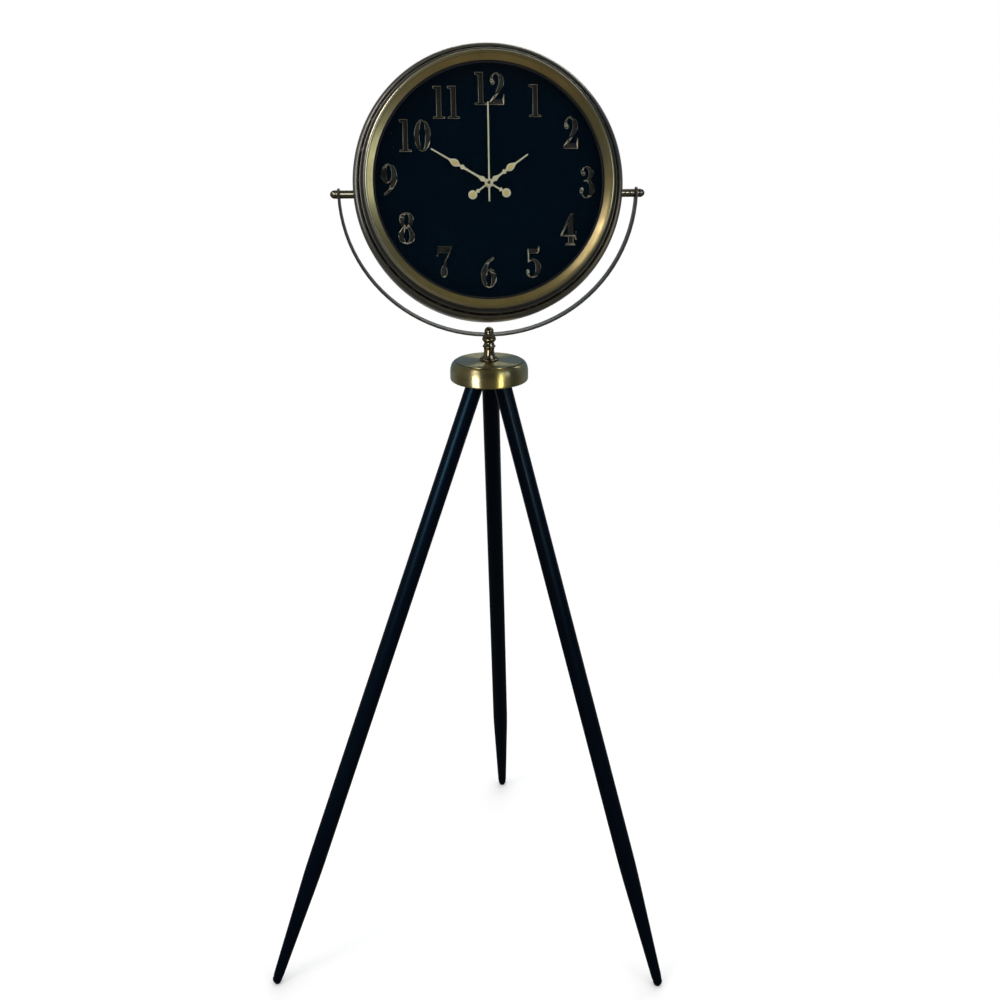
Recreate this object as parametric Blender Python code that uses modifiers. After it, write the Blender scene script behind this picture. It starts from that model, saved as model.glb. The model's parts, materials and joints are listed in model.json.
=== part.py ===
"""A tripod floor clock.

A round clock head hangs in a half-round yoke. The yoke turns on a short
turned stem, which stands on a round hub over three splayed legs.
Lengths are in metres, +Z is up and the dial looks towards -Y.
"""
import bmesh
import bpy
from math import acos, cos, hypot, pi, radians, sin, sqrt, tan, tau
from mathutils import Matrix, Vector

# Fits and drawing values
fit_gap = 0.0003
cut_overrun = 0.002
nut_waist_share = 0.25
merge_distance = 0.00001
drum_steps = 48
hub_steps = 36
stem_steps = 20
leg_steps = 16
small_steps = 16
eye_hole_steps = 18
strap_steps = 47
rod_steps = 10
round_edge_steps = 3
hex_sides = 6
quarter = 90
printed_places = 5
dimensions = 3

# The pose in the photograph
head_yaw = radians(6.7)
head_tilt_back = radians(14.3)
hour_angle = radians(55)
minute_angle = radians(300)
second_angle = radians(0)

# Hub
hub_top_height = 1.0885
hub_radius = 0.0617
hub_depth = 0.0315
hub_wall = 0.0012
hub_plate_radius = 0.0528
hub_step_depth = 0.0006
hub_step_width = 0.0007
hub_shoulder_drop = 0.0170
hub_lip_round = 0.0040

# Legs. The stand's legs lean unevenly: each has its own play on its bolt.
leg_splay = radians(19.2)
leg_directions = {"left": radians(-150), "right": radians(-30), "rear": radians(90)}
leg_plays = {"left": radians(1.8), "right": radians(-1.6), "rear": radians(-0.3)}
leg_crossing_radius = 0.0253
leg_crossing_below_hub = 0.0063
leg_top_in_hub = 0.0150
leg_top_radius = 0.01375
leg_belly_radius = 0.01480
leg_belly_height = 0.235
leg_knee_length = 0.060
leg_knee_steps = 4
leg_ankle_radius = 0.0088
leg_ankle_height = 0.016
leg_tip_round = 0.0082
glide_thickness = 0.0022
glide_radius = 0.0052
glide_bevel = 0.0005

# Bolts, block and tie rod inside the hub
leg_bolt_radius = 0.0040
leg_bolt_in_leg = 0.040
leg_bolt_in_block = 0.012
leg_bore_spare_depth = 0.002
block_radius = 0.050
block_plate_thickness = 0.0095
block_boss_rise = 0.008
rod_radius = 0.0030
rod_below_nut = 0.002
rod_in_finial = 0.0050
rod_nut_recess_radius = 0.0078
rod_nut_recess_depth = 0.0020
rod_nut_width = 0.0100
rod_nut_thickness = 0.0050

# Stem, from the hub up: radii of its turned features and their heights
stem_height = 0.0378
stem_flange_radius = 0.0148
stem_flange_height = 0.0034
stem_flare_radius = 0.0106
stem_flare_mid_radius = 0.0084
stem_waist_radius = 0.0073
stem_waist_height = 0.0170
stem_swell_radius = 0.0080
stem_swell_height = 0.0255
stem_ring_radius = 0.0099
stem_ring_height = 0.0222
stem_ring_thickness = 0.0024
stem_neck_radius = 0.0068
stem_neck_height = 0.0282
stem_cup_radius = 0.0109
stem_cup_height = 0.0335
stem_cup_under_height = 0.0300

# Yoke
pin_drop = 0.0125
strap_beyond_drum = 0.0212
strap_depth_share = 0.9575
strap_eye_end = radians(77)
strap_eye_steps = 4
strap_width = 0.0180
strap_thickness = 0.0030
washer_thickness = 0.0008
washer_radius = 0.0095
finial_radius = 0.0073
finial_height = 0.0102
finial_collar_height = 0.0030

# Drum: places along its axis are measured forward from the pins
drum_radius = 0.2000
drum_wall = 0.0020
drum_back = 0.0390
drum_back_round = 0.0010
moulding_foot = 0.0045
moulding_rise = 0.0151
moulding_width = 0.0080
moulding_steps = 5
moulding_inner_end = 60
groove_inset = 0.0097
groove_floor_front = 0.0172
step_inset = 0.0112
step_front = 0.0265
step_round = 0.0018
seat_front = 0.0120
seat_thickness = 0.0020
seat_inset = 0.0065
seat_width = 0.0225
mouth_inset = 0.0162
mouth_wall = 0.0022

# Bezel, glass and dial
bezel_crest_inset = 0.0040
bezel_crest_front = 0.0400
bezel_crest_round = 0.0030
bezel_crest_start = 150
bezel_lip_inset = 0.0154
bezel_lip_front = 0.0338
bezel_lip_round = 0.0008
bezel_lip_depth = 0.0026
bezel_wall = 0.0067
glass_thickness = 0.0030
gasket_thickness = 0.0008
gasket_reach = 0.0027
gasket_lip_height = 0.0014
gasket_lip_width = 0.0025
spacer_wall = 0.0080
dial_thickness = 0.0020
dial_bore = 0.0048

# Back cover
cover_inset = 0.0010
cover_thickness = 0.0030
cover_round = 0.0012
window_radius = 0.0640

# Pivots between head and yoke
stud_radius = 0.0040
stud_in_drum = 0.0120
acorn_radius = 0.0062
acorn_length = 0.0110
acorn_collar_length = 0.0030
stud_in_acorn = 0.0060
sleeve_radius = 0.0052
sleeve_bead_radius = 0.0060
sleeve_beads = 3
sleeve_bead_share = 1 / 6
sleeve_slope_share = 1 / 6
pivot_nut_width = 0.0130
pivot_nut_thickness = 0.0060

# Movement and what drives the hands
movement_width = 0.0560
movement_thickness = 0.0150
movement_corner = 0.0030
rubber_thickness = 0.0008
rubber_radius = 0.0180
bush_radius = 0.0040
bush_rise = 0.0024
bush_bore = 0.0028
bush_nut_radius = 0.0064
bush_nut_thickness = 0.0018
battery_radius = 0.0071
battery_length = 0.0490
battery_nub_radius = 0.0027
battery_nub_length = 0.0010
battery_drop = 0.0160
bay_clearance = 0.0007
bay_end_space = 0.0012
contact_thickness = 0.0004
contact_width = 0.0090
knob_radius = 0.0070
knob_thickness = 0.0045
knob_stub_radius = 0.0020
knob_stub_length = 0.0040
knob_across = 0.0160
knob_up = 0.0130
knob_chamfer = 0.0008
arbor_in_movement = 0.0060
hour_tube_radius = 0.0025
hour_tube_bore = 0.0019
minute_arbor_radius = 0.0016
minute_arbor_bore = 0.0008
second_arbor_radius = 0.0005

# Hands: widths across, and reaches from the arbor as shares of the drum's radius
hand_thickness = 0.0008
hand_spacing = 0.0018
hand_needle_width = 0.0024
hand_leaf_width = 0.0115
hand_leaf_half_length = 0.0100
hand_collar_width = 0.0070
hand_waist_width = 0.0028
hand_flare_width = 0.0080
hand_flare_reach = 0.0105
hand_boss_radius = 0.0058
hand_tail_reach_share = 0.146
hand_tail_disc_radius = 0.00645
hand_tail_collar_reach_share = 0.0965
hand_tail_collar_width = 0.0060
hour_reach_share = 0.3525
hour_leaf_reach_share = 0.194
hour_collar_reach_share = 0.1425
minute_reach_share = 0.4835
minute_leaf_reach_share = 0.284
minute_collar_reach_share = 0.225
second_reach_share = 0.569
second_tail_reach_share = 0.136
second_width = 0.0022
second_boss_radius = 0.0040
second_cap_radius = 0.0026
second_cap_height = 0.0016
leaf_side_share = 5 / 6
hand_point_share = 1 / 2
hand_inner_share = 2 / 3
hand_disc_steps = 6

# Numerals. They are stuck on by hand, so each has its own place, in shares of the drum's radius.
# Each digit is drawn on a grid 100 high: ovals are (middle across, middle up, half width,
# half height), and other outlines are points, where a third value marks a smooth one.
numeral_height_share = 0.2265
numeral_thickness = 0.0014
numeral_places = {
    1: (0.345, 0.580), 2: (0.604, 0.356), 3: (0.726, 0.003), 4: (0.584, -0.335),
    5: (0.322, -0.569), 6: (-0.011, -0.640), 7: (-0.338, -0.562), 8: (-0.609, -0.318),
    9: (-0.727, 0.030), 10: (-0.531, 0.338), 11: (-0.301, 0.569), 12: (0.014, 0.665),
}
numeral_curve_steps = 3
oval_steps = 16
digit_grid = 100
digit_space = 9
digit_shapes = {
    "0": [(26.5, 50, 26.5, 50), (26.5, 50, 9.5, 46)],
    "1": [[(0, 0), (38, 0), (38, 5), (27, 7), (27, 100), (0, 100), (0, 93), (11, 90), (11, 7), (0, 5)]],
    "2": [[(0, 0), (46, 0), (47, 32), (44, 32), (40, 17), (13, 17), (30, 36, 1), (47, 72, 1),
           (26, 100, 1), (3, 80, 1), (4, 67, 1), (11, 61, 1), (18, 69, 1), (12, 79, 1),
           (12, 89, 1), (21, 95, 1), (30, 76, 1), (20, 40, 1), (0, 8)]],
    "3": [[(26, 100, 1), (46, 79, 1), (33, 55.5), (50, 29, 1), (25, 0, 1), (5, 8, 1), (0, 25, 1),
           (6, 35, 1), (13, 28, 1), (9, 19, 1), (12, 9, 1), (21, 4, 1), (32, 29, 1), (24, 51, 1),
           (13, 53), (13, 57), (23, 59, 1), (29, 78, 1), (22, 96, 1), (12, 89, 1), (18, 79, 1),
           (12, 70, 1), (5, 77, 1), (9, 93, 1)]],
    "4": [[(17, 0), (48, 0), (48, 5), (42, 7), (42, 28), (47, 28), (49, 17), (53, 17), (53, 43),
           (49, 43), (47, 33), (42, 33), (42, 100), (33, 100), (0, 33), (0, 28), (25, 28), (25, 7),
           (17, 5)],
          [(6.5, 33), (25, 33), (25, 70)]],
    "5": [[(6, 50), (6, 93), (37, 93), (40, 100), (44, 100), (43, 85), (36, 78), (10, 78), (10, 57),
           (26, 61, 1), (49, 31, 1), (24, 0, 1), (5, 8, 1), (0, 20, 1), (6, 28, 1), (12, 20, 1),
           (10, 11, 1), (20, 4, 1), (31, 31, 1), (21, 56, 1), (10, 50)]],
    "6": [[(40, 100), (14, 78, 1), (0, 38, 1), (25, 0, 1), (51, 32, 1), (34, 62, 1), (21, 55),
           (25, 76, 1), (43, 95)],
          (26, 30, 8.5, 26)],
    "7": [[(5, 100), (0, 69), (5, 69), (11, 79), (41, 79), (26, 50, 1), (13, 16, 1), (23, 0, 1),
           (34, 12, 1), (31, 42, 1), (49, 95), (49, 100)]],
    "8": [[(27, 100, 1), (45, 93, 1), (50, 77, 1), (39, 53.5), (53, 27, 1), (46, 7, 1), (27, 0, 1),
           (8, 7, 1), (0, 27, 1), (15, 53.5), (4, 77, 1), (9, 93, 1)],
          (27, 77, 8, 19), (27, 27, 9, 23)],
    "9": [[(12, 0), (38, 22, 1), (52, 62, 1), (27, 100, 1), (1, 68, 1), (18, 38, 1), (31, 45),
           (27, 24, 1), (9, 5)],
          (26, 70, 8.5, 26)],
}
digit_places = ("units", "tens")

# Places worked out from the sizes above
leg_top_height = hub_top_height - hub_depth + leg_top_in_hub
crossing_height = hub_top_height - hub_depth - leg_crossing_below_hub
strap_reach = drum_radius + strap_beyond_drum
strap_depth = strap_reach * strap_depth_share
strap_seat_height = hub_top_height + fit_gap + stem_height + washer_thickness + fit_gap + fit_gap
strap_flat_share = cos(pi / strap_steps / 2)
pin_height = strap_seat_height + strap_thickness / 2 + strap_depth * strap_flat_share
finial_seat_height = strap_seat_height + strap_thickness + fit_gap
rod_bore = rod_radius + fit_gap
stud_bore = stud_radius + fit_gap
case_inner_radius = drum_radius - drum_wall
groove_floor_radius = drum_radius - groove_inset
step_radius = drum_radius - step_inset
mouth_radius = drum_radius - mouth_inset
seat_outer_radius = drum_radius - seat_inset
seat_inner_radius = seat_outer_radius - seat_width
cover_radius = drum_radius - cover_inset
bezel_crest_radius = mouth_radius - bezel_crest_inset
bezel_lip_radius = mouth_radius - bezel_lip_inset
numeral_height = drum_radius * numeral_height_share
hand_tail_reach = drum_radius * hand_tail_reach_share
hand_tail_collar_reach = drum_radius * hand_tail_collar_reach_share
hour_reach = drum_radius * hour_reach_share
hour_leaf_reach = drum_radius * hour_leaf_reach_share
hour_collar_reach = drum_radius * hour_collar_reach_share
minute_reach = drum_radius * minute_reach_share
minute_leaf_reach = drum_radius * minute_leaf_reach_share
minute_collar_reach = drum_radius * minute_collar_reach_share
second_reach = drum_radius * second_reach_share
second_tail_reach = drum_radius * second_tail_reach_share
dial_front = seat_front + dial_thickness
bezel_outer_radius = mouth_radius - fit_gap
bezel_inner_radius = bezel_outer_radius - bezel_wall
bezel_back = dial_front + fit_gap
glass_radius = bezel_inner_radius - fit_gap
glass_front = bezel_lip_front - bezel_lip_depth - fit_gap - gasket_thickness - fit_gap
glass_back = glass_front - glass_thickness
movement_front = seat_front - fit_gap - rubber_thickness - fit_gap
movement_back = movement_front - movement_thickness
hour_plane = dial_front + bush_rise + hand_spacing / 2
minute_plane = hour_plane + hand_thickness + hand_spacing
second_plane = minute_plane + hand_thickness + hand_spacing

parts = bpy.data.collections.new("tripod_floor_clock")
cutters = bpy.data.collections.new("cutters")


def clear_scene():
    """Remove what the scene holds and link the two collections."""
    for old in list(bpy.data.objects):
        bpy.data.objects.remove(old, do_unlink=True)
    bpy.context.scene.collection.children.link(parts)
    bpy.context.scene.collection.children.link(cutters)


def finish(name, colour, metallic, roughness):
    """A Principled material with one colour."""
    material = bpy.data.materials.new(name)
    material.use_nodes = True
    shader = material.node_tree.nodes["Principled BSDF"]
    shader.inputs["Base Color"].default_value = (*colour, 1)
    shader.inputs["Metallic"].default_value = metallic
    shader.inputs["Roughness"].default_value = roughness
    return material


finishes = {
    "lacquer": ((0.010, 0.014, 0.022), 0.0, 0.35),
    "brushed brass": ((0.26, 0.22, 0.13), 1.0, 0.38),
    "polished brass": ((0.36, 0.30, 0.19), 1.0, 0.20),
    "gold": ((0.55, 0.42, 0.20), 1.0, 0.32),
    "bronze": ((0.16, 0.15, 0.12), 1.0, 0.40),
    "pale brass": ((0.78, 0.68, 0.42), 1.0, 0.35),
    "numeral bronze": ((0.12, 0.11, 0.09), 0.8, 0.40),
    "dial black": ((0.004, 0.007, 0.012), 0.0, 0.15),
    "glass": ((0.30, 0.40, 0.42), 0.0, 0.05),
    "rubber": ((0.012, 0.012, 0.013), 0.0, 0.70),
    "black plastic": ((0.02, 0.02, 0.022), 0.0, 0.50),
    "cast iron": ((0.10, 0.10, 0.10), 0.8, 0.60),
    "steel": ((0.55, 0.55, 0.56), 1.0, 0.35),
    "board": ((0.05, 0.05, 0.055), 0.0, 0.60),
    "battery label": ((0.45, 0.33, 0.12), 0.2, 0.40),
}


def empty(name, parent=None, location=(0, 0, 0), rotation=(0, 0, 0)):
    """A frame that pieces are parented to."""
    frame = bpy.data.objects.new(name, None)
    frame.parent = parent
    frame.location = location
    frame.rotation_euler = rotation
    parts.objects.link(frame)
    return frame


def add_piece(name, data, parent, finish_name, location=(0, 0, 0), rotation=(0, 0, 0)):
    """Put mesh or curve data in the scene as one named piece."""
    piece = bpy.data.objects.new(name, data)
    piece.parent = parent
    piece.location = location
    piece.rotation_euler = rotation
    data.materials.append(finish(name, *finishes[finish_name]))
    parts.objects.link(piece)
    return piece


def profile_mesh(name, profile, closed):
    """An outline of (radius, height) points in the XZ plane."""
    mesh = bpy.data.meshes.new(name)
    shape = bmesh.new()
    corners = [shape.verts.new((radius, 0, height)) for radius, height in profile]
    for first, second in zip(corners, corners[1:]):
        shape.edges.new((first, second))
    if closed:
        shape.edges.new((corners[-1], corners[0]))
    shape.to_mesh(mesh)
    shape.free()
    return mesh


def turn(piece, steps):
    """Spin the outline about its own Z axis."""
    screw = piece.modifiers.new("Turn", "SCREW")
    screw.axis = "Z"
    screw.angle = tau
    screw.steps = steps
    screw.render_steps = steps
    screw.use_merge_vertices = True
    screw.merge_threshold = merge_distance
    screw.use_smooth_shade = True


def turned(name, profile, parent, finish_name, steps, closed=True, **place):
    """A piece made on the lathe. The outline runs down its outer side."""
    piece = add_piece(name, profile_mesh(name, profile, closed), parent, finish_name, **place)
    turn(piece, steps)
    return piece


def arc(centre, reach_across, reach_up, start, end, steps):
    """Points on an ellipse. Angles are in degrees, from +X towards +Z."""
    angles = [radians(start + (end - start) * step / steps) for step in range(steps + 1)]
    return [(centre[0] + reach_across * cos(a), centre[1] + reach_up * sin(a)) for a in angles]


def cylinder_mesh(name, radius, low, high, steps):
    """A closed cylinder along Z."""
    mesh = bpy.data.meshes.new(name)
    shape = bmesh.new()
    bmesh.ops.create_cone(shape, cap_ends=True, segments=steps, radius1=radius, radius2=radius,
                          depth=high - low, matrix=Matrix.Translation((0, 0, (low + high) / 2)))
    shape.to_mesh(mesh)
    shape.free()
    return mesh


def box_mesh(name, size, centre):
    """A closed box."""
    mesh = bpy.data.meshes.new(name)
    shape = bmesh.new()
    bmesh.ops.create_cube(shape, size=1)
    bmesh.ops.scale(shape, verts=shape.verts, vec=size)
    bmesh.ops.translate(shape, verts=shape.verts, vec=centre)
    shape.to_mesh(mesh)
    shape.free()
    return mesh


def add_cutter(name, mesh, parent, location=(0, 0, 0), rotation=(0, 0, 0)):
    """A shape that cuts or joins others and is not a piece itself."""
    cutter = bpy.data.objects.new(name, mesh)
    cutter.parent = parent
    cutter.location = location
    cutter.rotation_euler = rotation
    cutter.hide_render = True
    cutter.display_type = "WIRE"
    cutters.objects.link(cutter)
    return cutter


def combine(piece, cutter, operation="DIFFERENCE"):
    """Cut, join or intersect a piece with a cutter."""
    boolean = piece.modifiers.new(operation.title(), "BOOLEAN")
    boolean.operation = operation
    boolean.solver = "EXACT"
    boolean.object = cutter


def flat_piece(name, outlines, thickness, parent, finish_name, **place):
    """A sheet cut to closed outlines in its XY plane. Inner outlines are holes."""
    curve = bpy.data.curves.new(name, "CURVE")
    curve.dimensions = "2D"
    curve.fill_mode = "BOTH"
    curve.extrude = thickness / 2
    for outline in outlines:
        spline = curve.splines.new("POLY")
        spline.points.add(len(outline) - 1)
        for point, (across, up) in zip(spline.points, outline):
            point.co = (across, up, 0, 1)
        spline.use_cyclic_u = True
    return add_piece(name, curve, parent, finish_name, **place)


def sheet_mesh(name, outline, low, high):
    """A closed sheet of one outline between two heights."""
    mesh = bpy.data.meshes.new(name)
    shape = bmesh.new()
    bottom = [shape.verts.new((across, up, low)) for across, up in outline]
    top = [shape.verts.new((across, up, high)) for across, up in outline]
    shape.faces.new(bottom)
    shape.faces.new(top)
    for index in range(len(outline)):
        shape.faces.new((bottom[index - 1], bottom[index], top[index], top[index - 1]))
    bmesh.ops.recalc_face_normals(shape, faces=shape.faces)
    shape.to_mesh(mesh)
    shape.free()
    return mesh


def circle(radius, steps):
    """Points round a circle in the XY plane."""
    turns = [tau * step / steps for step in range(steps)]
    return [(radius * cos(turn_by), radius * sin(turn_by)) for turn_by in turns]


def hex_nut(name, width, bore, low, high, parent):
    """A plain nut, width across its flats, with a round hole along Z."""
    corner = width / 2 / cos(pi / hex_sides)
    nut = add_piece(name, cylinder_mesh(name, corner, low, high, hex_sides), parent, "steel")
    hole = cylinder_mesh("nut_bore", bore, low - cut_overrun, high + cut_overrun, small_steps)
    combine(nut, add_cutter(f"{name}_bore", hole, parent))


def make_leg_frame(root, side):
    """A frame at the middle of a leg's top face, with -Z down the leg."""
    lean = leg_splay + leg_plays[side]
    direction = leg_directions[side]
    reach = leg_crossing_radius - (leg_top_height - crossing_height) * tan(lean)
    place = (reach * cos(direction), reach * sin(direction), leg_top_height)
    frame = empty(f"leg_frame_{side}", root, place)
    frame.rotation_euler = (0, -lean, direction)
    return frame, lean


def leg_profile(length):
    """The leg's outline, from its bore over the top and down to the tip."""
    bore = leg_bolt_radius + fit_gap
    bore_depth = leg_bolt_in_leg + leg_bore_spare_depth
    belly = -length + leg_belly_height
    above = belly + leg_knee_length / 2
    below = belly - leg_knee_length / 2
    ankle = -length + leg_ankle_height
    top_slope = (leg_belly_radius - leg_top_radius) / -belly
    low_slope = (leg_belly_radius - leg_ankle_radius) / (belly - ankle)
    knee_start = leg_belly_radius - top_slope * leg_knee_length / 2
    knee_end = leg_belly_radius - low_slope * leg_knee_length / 2
    knee = []
    for step in range(leg_knee_steps + 1):
        t = step / leg_knee_steps
        radius = (1 - t) ** 2 * knee_start + 2 * t * (1 - t) * leg_belly_radius + t * t * knee_end
        knee.append((radius, above + (below - above) * t))
    tip_centre = (0, -length + leg_tip_round)
    tip = arc(tip_centre, leg_tip_round, leg_tip_round, 0, -quarter, round_edge_steps + 1)
    return [(0, -bore_depth), (bore, -bore_depth), (bore, 0), (leg_top_radius, 0),
            *knee, (leg_ankle_radius, ankle), *tip[:-1], (0, -length)]


def make_leg(root, side):
    """One turned leg, its bolt and the glide under its tip."""
    frame, lean = make_leg_frame(root, side)
    length = (leg_top_height - leg_tip_round) / cos(lean) + leg_tip_round
    leg = turned(f"leg_{side}", leg_profile(length), frame, "lacquer", leg_steps, closed=False)

    tip_reach = leg_crossing_radius + crossing_height * tan(lean) - leg_tip_round * tan(lean)
    direction = leg_directions[side]
    tip_place = (tip_reach * cos(direction), tip_reach * sin(direction), 0)
    tip_frame = empty(f"tip_frame_{side}", root, tip_place)
    floor_cut = add_cutter(f"floor_cut_{side}",
                           cylinder_mesh("floor_cut", leg_tip_round + cut_overrun, -cut_overrun,
                                         glide_thickness + fit_gap, small_steps), tip_frame)
    combine(leg, floor_cut)
    turned(f"glide_{side}", [(0, glide_thickness), (glide_radius - glide_bevel, glide_thickness),
                             (glide_radius, glide_thickness - glide_bevel), (glide_radius, 0), (0, 0)],
           tip_frame, "rubber", small_steps, closed=False)

    bolt = cylinder_mesh("leg_bolt", leg_bolt_radius, -leg_bolt_in_leg, leg_bolt_in_block, small_steps)
    add_piece(f"leg_bolt_{side}", bolt, frame, "steel")
    return frame


def make_block(root, leg_frames):
    """The casting in the hub: a plate with a sloped, bored boss for each leg."""
    top = hub_top_height - hub_step_depth - hub_wall - fit_gap
    bottom = top - block_plate_thickness
    block = add_piece("leg_block", cylinder_mesh("leg_block", block_radius, bottom, top, hub_steps),
                      root, "cast iron")
    for side, frame in leg_frames.items():
        boss = add_cutter(f"boss_{side}", cylinder_mesh("boss", leg_top_radius, fit_gap,
                                                        block_boss_rise, small_steps), frame)
        combine(block, boss, "UNION")
    for side, frame in leg_frames.items():
        bore = cylinder_mesh("bolt_bore", leg_bolt_radius + fit_gap, -cut_overrun,
                             leg_bolt_in_block + fit_gap, small_steps)
        combine(block, add_cutter(f"bolt_bore_{side}", bore, frame))
    recess = cylinder_mesh("nut_recess", rod_nut_recess_radius, bottom - block_radius,
                           bottom + rod_nut_recess_depth, small_steps)
    combine(block, add_cutter("nut_recess", recess, root))
    rod_hole = cylinder_mesh("rod_hole", rod_bore, bottom - cut_overrun, top + cut_overrun, small_steps)
    combine(block, add_cutter("rod_hole", rod_hole, root))
    return bottom + rod_nut_recess_depth


def hub_profile():
    """The cover's outline: flat top with a fine step, round shoulder, wall and lip."""
    top = hub_top_height
    shoulder_width = hub_radius - hub_plate_radius - hub_step_width
    shoulder = (hub_radius - shoulder_width, top - hub_step_depth - hub_shoulder_drop)
    lip = (hub_radius - hub_lip_round, top - hub_depth + hub_lip_round)
    outer = [(rod_bore, top), (hub_plate_radius, top), (hub_plate_radius, top - hub_step_depth)]
    outer += arc(shoulder, shoulder_width, hub_shoulder_drop, quarter, 0, round_edge_steps + 1)
    outer += arc(lip, hub_lip_round, hub_lip_round, 0, -quarter, round_edge_steps)
    inner = arc(lip, hub_lip_round - hub_wall, hub_lip_round - hub_wall, -quarter, 0, round_edge_steps)
    inner += arc(shoulder, shoulder_width - hub_wall, hub_shoulder_drop - hub_wall, 0, quarter,
                 round_edge_steps)
    inner.append((rod_bore, top - hub_step_depth - hub_wall))
    return outer + inner


def make_hub(root, leg_frames):
    """Cover, block, tie rod and its nut."""
    nut_top = make_block(root, leg_frames) - fit_gap
    turned("hub_cover", hub_profile(), root, "brushed brass", hub_steps)
    hex_nut("rod_nut", rod_nut_width, rod_bore, nut_top - rod_nut_thickness, nut_top, root)
    rod_bottom = nut_top - rod_nut_thickness - rod_below_nut
    rod_top = finial_seat_height + rod_in_finial
    rod = cylinder_mesh("tie_rod", rod_radius, rod_bottom, rod_top, rod_steps)
    add_piece("tie_rod", rod, root, "steel")


def stem_profile():
    """The baluster, from the top down: cup, neck, swell with its ring, waist, flare and flange."""
    flange_half = stem_flange_height / 2
    flange = (stem_flange_radius - flange_half, flange_half)
    ring_half = stem_ring_thickness / 2
    ring = (stem_ring_radius - ring_half, stem_ring_height)
    cup_edge = (stem_cup_radius + stem_neck_radius) / 2
    outline = [(rod_bore, stem_height), (cup_edge, stem_height), (stem_cup_radius, stem_cup_height),
               (cup_edge, stem_cup_under_height), (stem_neck_radius, stem_neck_height),
               (stem_swell_radius, stem_swell_height)]
    outline += arc(ring, ring_half, ring_half, quarter, -quarter, round_edge_steps)
    outline += [(stem_waist_radius, stem_waist_height), (stem_flare_mid_radius, stem_waist_height / 2),
                (stem_flare_radius, stem_flange_height)]
    outline += arc(flange, flange_half, flange_half, quarter, -quarter, round_edge_steps + 1)
    outline.append((rod_bore, 0))
    return outline


def strap_mesh():
    """A flat strip bent to half an ellipse. Its ends rise straight and round past the pins."""
    mesh = bpy.data.meshes.new("yoke_strap")
    shape = bmesh.new()
    half_width = strap_width / 2
    eye_turns = [strap_eye_end * step / strap_eye_steps for step in range(strap_eye_steps, 0, -1)]
    path = [(strap_reach, half_width * sin(a), 1, 0, half_width * cos(a)) for a in eye_turns]
    for step in range(strap_steps + 1):
        turn_by = pi * step / strap_steps
        across = strap_depth * cos(turn_by)
        down = strap_reach * sin(turn_by)
        length = hypot(across, down)
        path.append((strap_reach * cos(turn_by), -strap_depth * sin(turn_by),
                     across / length, -down / length, half_width))
    path += [(-strap_reach, half_width * sin(a), -1, 0, half_width * cos(a))
             for a in reversed(eye_turns)]
    rows = []
    for across, up, out_across, out_up, wide in path:
        rows.append([shape.verts.new((across + out_across * side, wide * edge, up + out_up * side))
                     for side, edge in ((strap_thickness / 2, 1), (strap_thickness / 2, -1),
                                        (-strap_thickness / 2, -1), (-strap_thickness / 2, 1))])
    for first, second in zip(rows, rows[1:]):
        for index in range(len(first)):
            after = (index + 1) % len(first)
            shape.faces.new((first[index], first[after], second[after], second[index]))
    shape.faces.new(rows[0])
    shape.faces.new(rows[-1])
    bmesh.ops.recalc_face_normals(shape, faces=shape.faces)
    shape.to_mesh(mesh)
    shape.free()
    return mesh


def make_yoke(yoke):
    """The bent strap with its eyes, the washer under it and the domed nut on it."""
    strap = add_piece("yoke_strap", strap_mesh(), yoke, "bronze")
    outer = strap_reach + strap_thickness + cut_overrun
    eyes = cylinder_mesh("eye_hole", stud_bore, -outer, outer, eye_hole_steps)
    combine(strap, add_cutter("eye_hole", eyes, yoke, rotation=(pi / 2, 0, pi / 2)))
    seat = strap_seat_height - pin_height
    stem_hole = cylinder_mesh("stem_hole", rod_bore, seat - cut_overrun,
                              seat + strap_thickness + cut_overrun, small_steps)
    combine(strap, add_cutter("stem_hole", stem_hole, yoke))

    washer_low = seat - fit_gap - washer_thickness
    turned("swivel_washer", [(rod_bore, washer_low + washer_thickness),
                             (washer_radius, washer_low + washer_thickness),
                             (washer_radius, washer_low), (rod_bore, washer_low)],
           yoke, "polished brass", stem_steps)
    low = finial_seat_height - pin_height
    turned("finial_nut", domed_nut(finial_radius, finial_height, finial_collar_height, rod_bore,
                                   rod_in_finial + fit_gap),
           yoke, "polished brass", stem_steps, closed=False, location=(0, 0, low))


def domed_nut(radius, height, collar, bore, bore_depth):
    """An acorn nut standing on its collar at height zero, with a blind bore below."""
    dome = arc((0, collar), radius, height - collar, quarter, 0, round_edge_steps + 2)
    waist = collar * nut_waist_share
    return [*dome, (radius - waist, collar), (radius, collar - waist), (radius, 0), (bore, 0),
            (bore, bore_depth), (0, bore_depth)]


def case_profile():
    """The drum's wall: mouth, step, groove, moulding and side."""
    moulding = (drum_radius - moulding_width, moulding_foot)
    outline = [(mouth_radius, step_front)]
    outline += arc((step_radius - step_round, step_front - step_round), step_round, step_round,
                   quarter, 0, round_edge_steps - 1)
    outline += [(step_radius, groove_floor_front + step_round), (groove_floor_radius, groove_floor_front)]
    outline += arc(moulding, moulding_width, moulding_rise, quarter, 0, moulding_steps)
    outline += arc((drum_radius - drum_back_round, drum_back_round - drum_back), drum_back_round,
                   drum_back_round, 0, -quarter, round_edge_steps - 1)
    outline.append((case_inner_radius, -drum_back))
    outline += arc(moulding, moulding_width - drum_wall, moulding_rise - drum_wall, 0, moulding_inner_end,
                   round_edge_steps - 1)
    wall = mouth_radius + mouth_wall
    shelf = groove_floor_front - drum_wall
    outline += [(groove_floor_radius, shelf), (wall, shelf), (wall, seat_front),
                (mouth_radius, seat_front)]
    return outline


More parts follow.
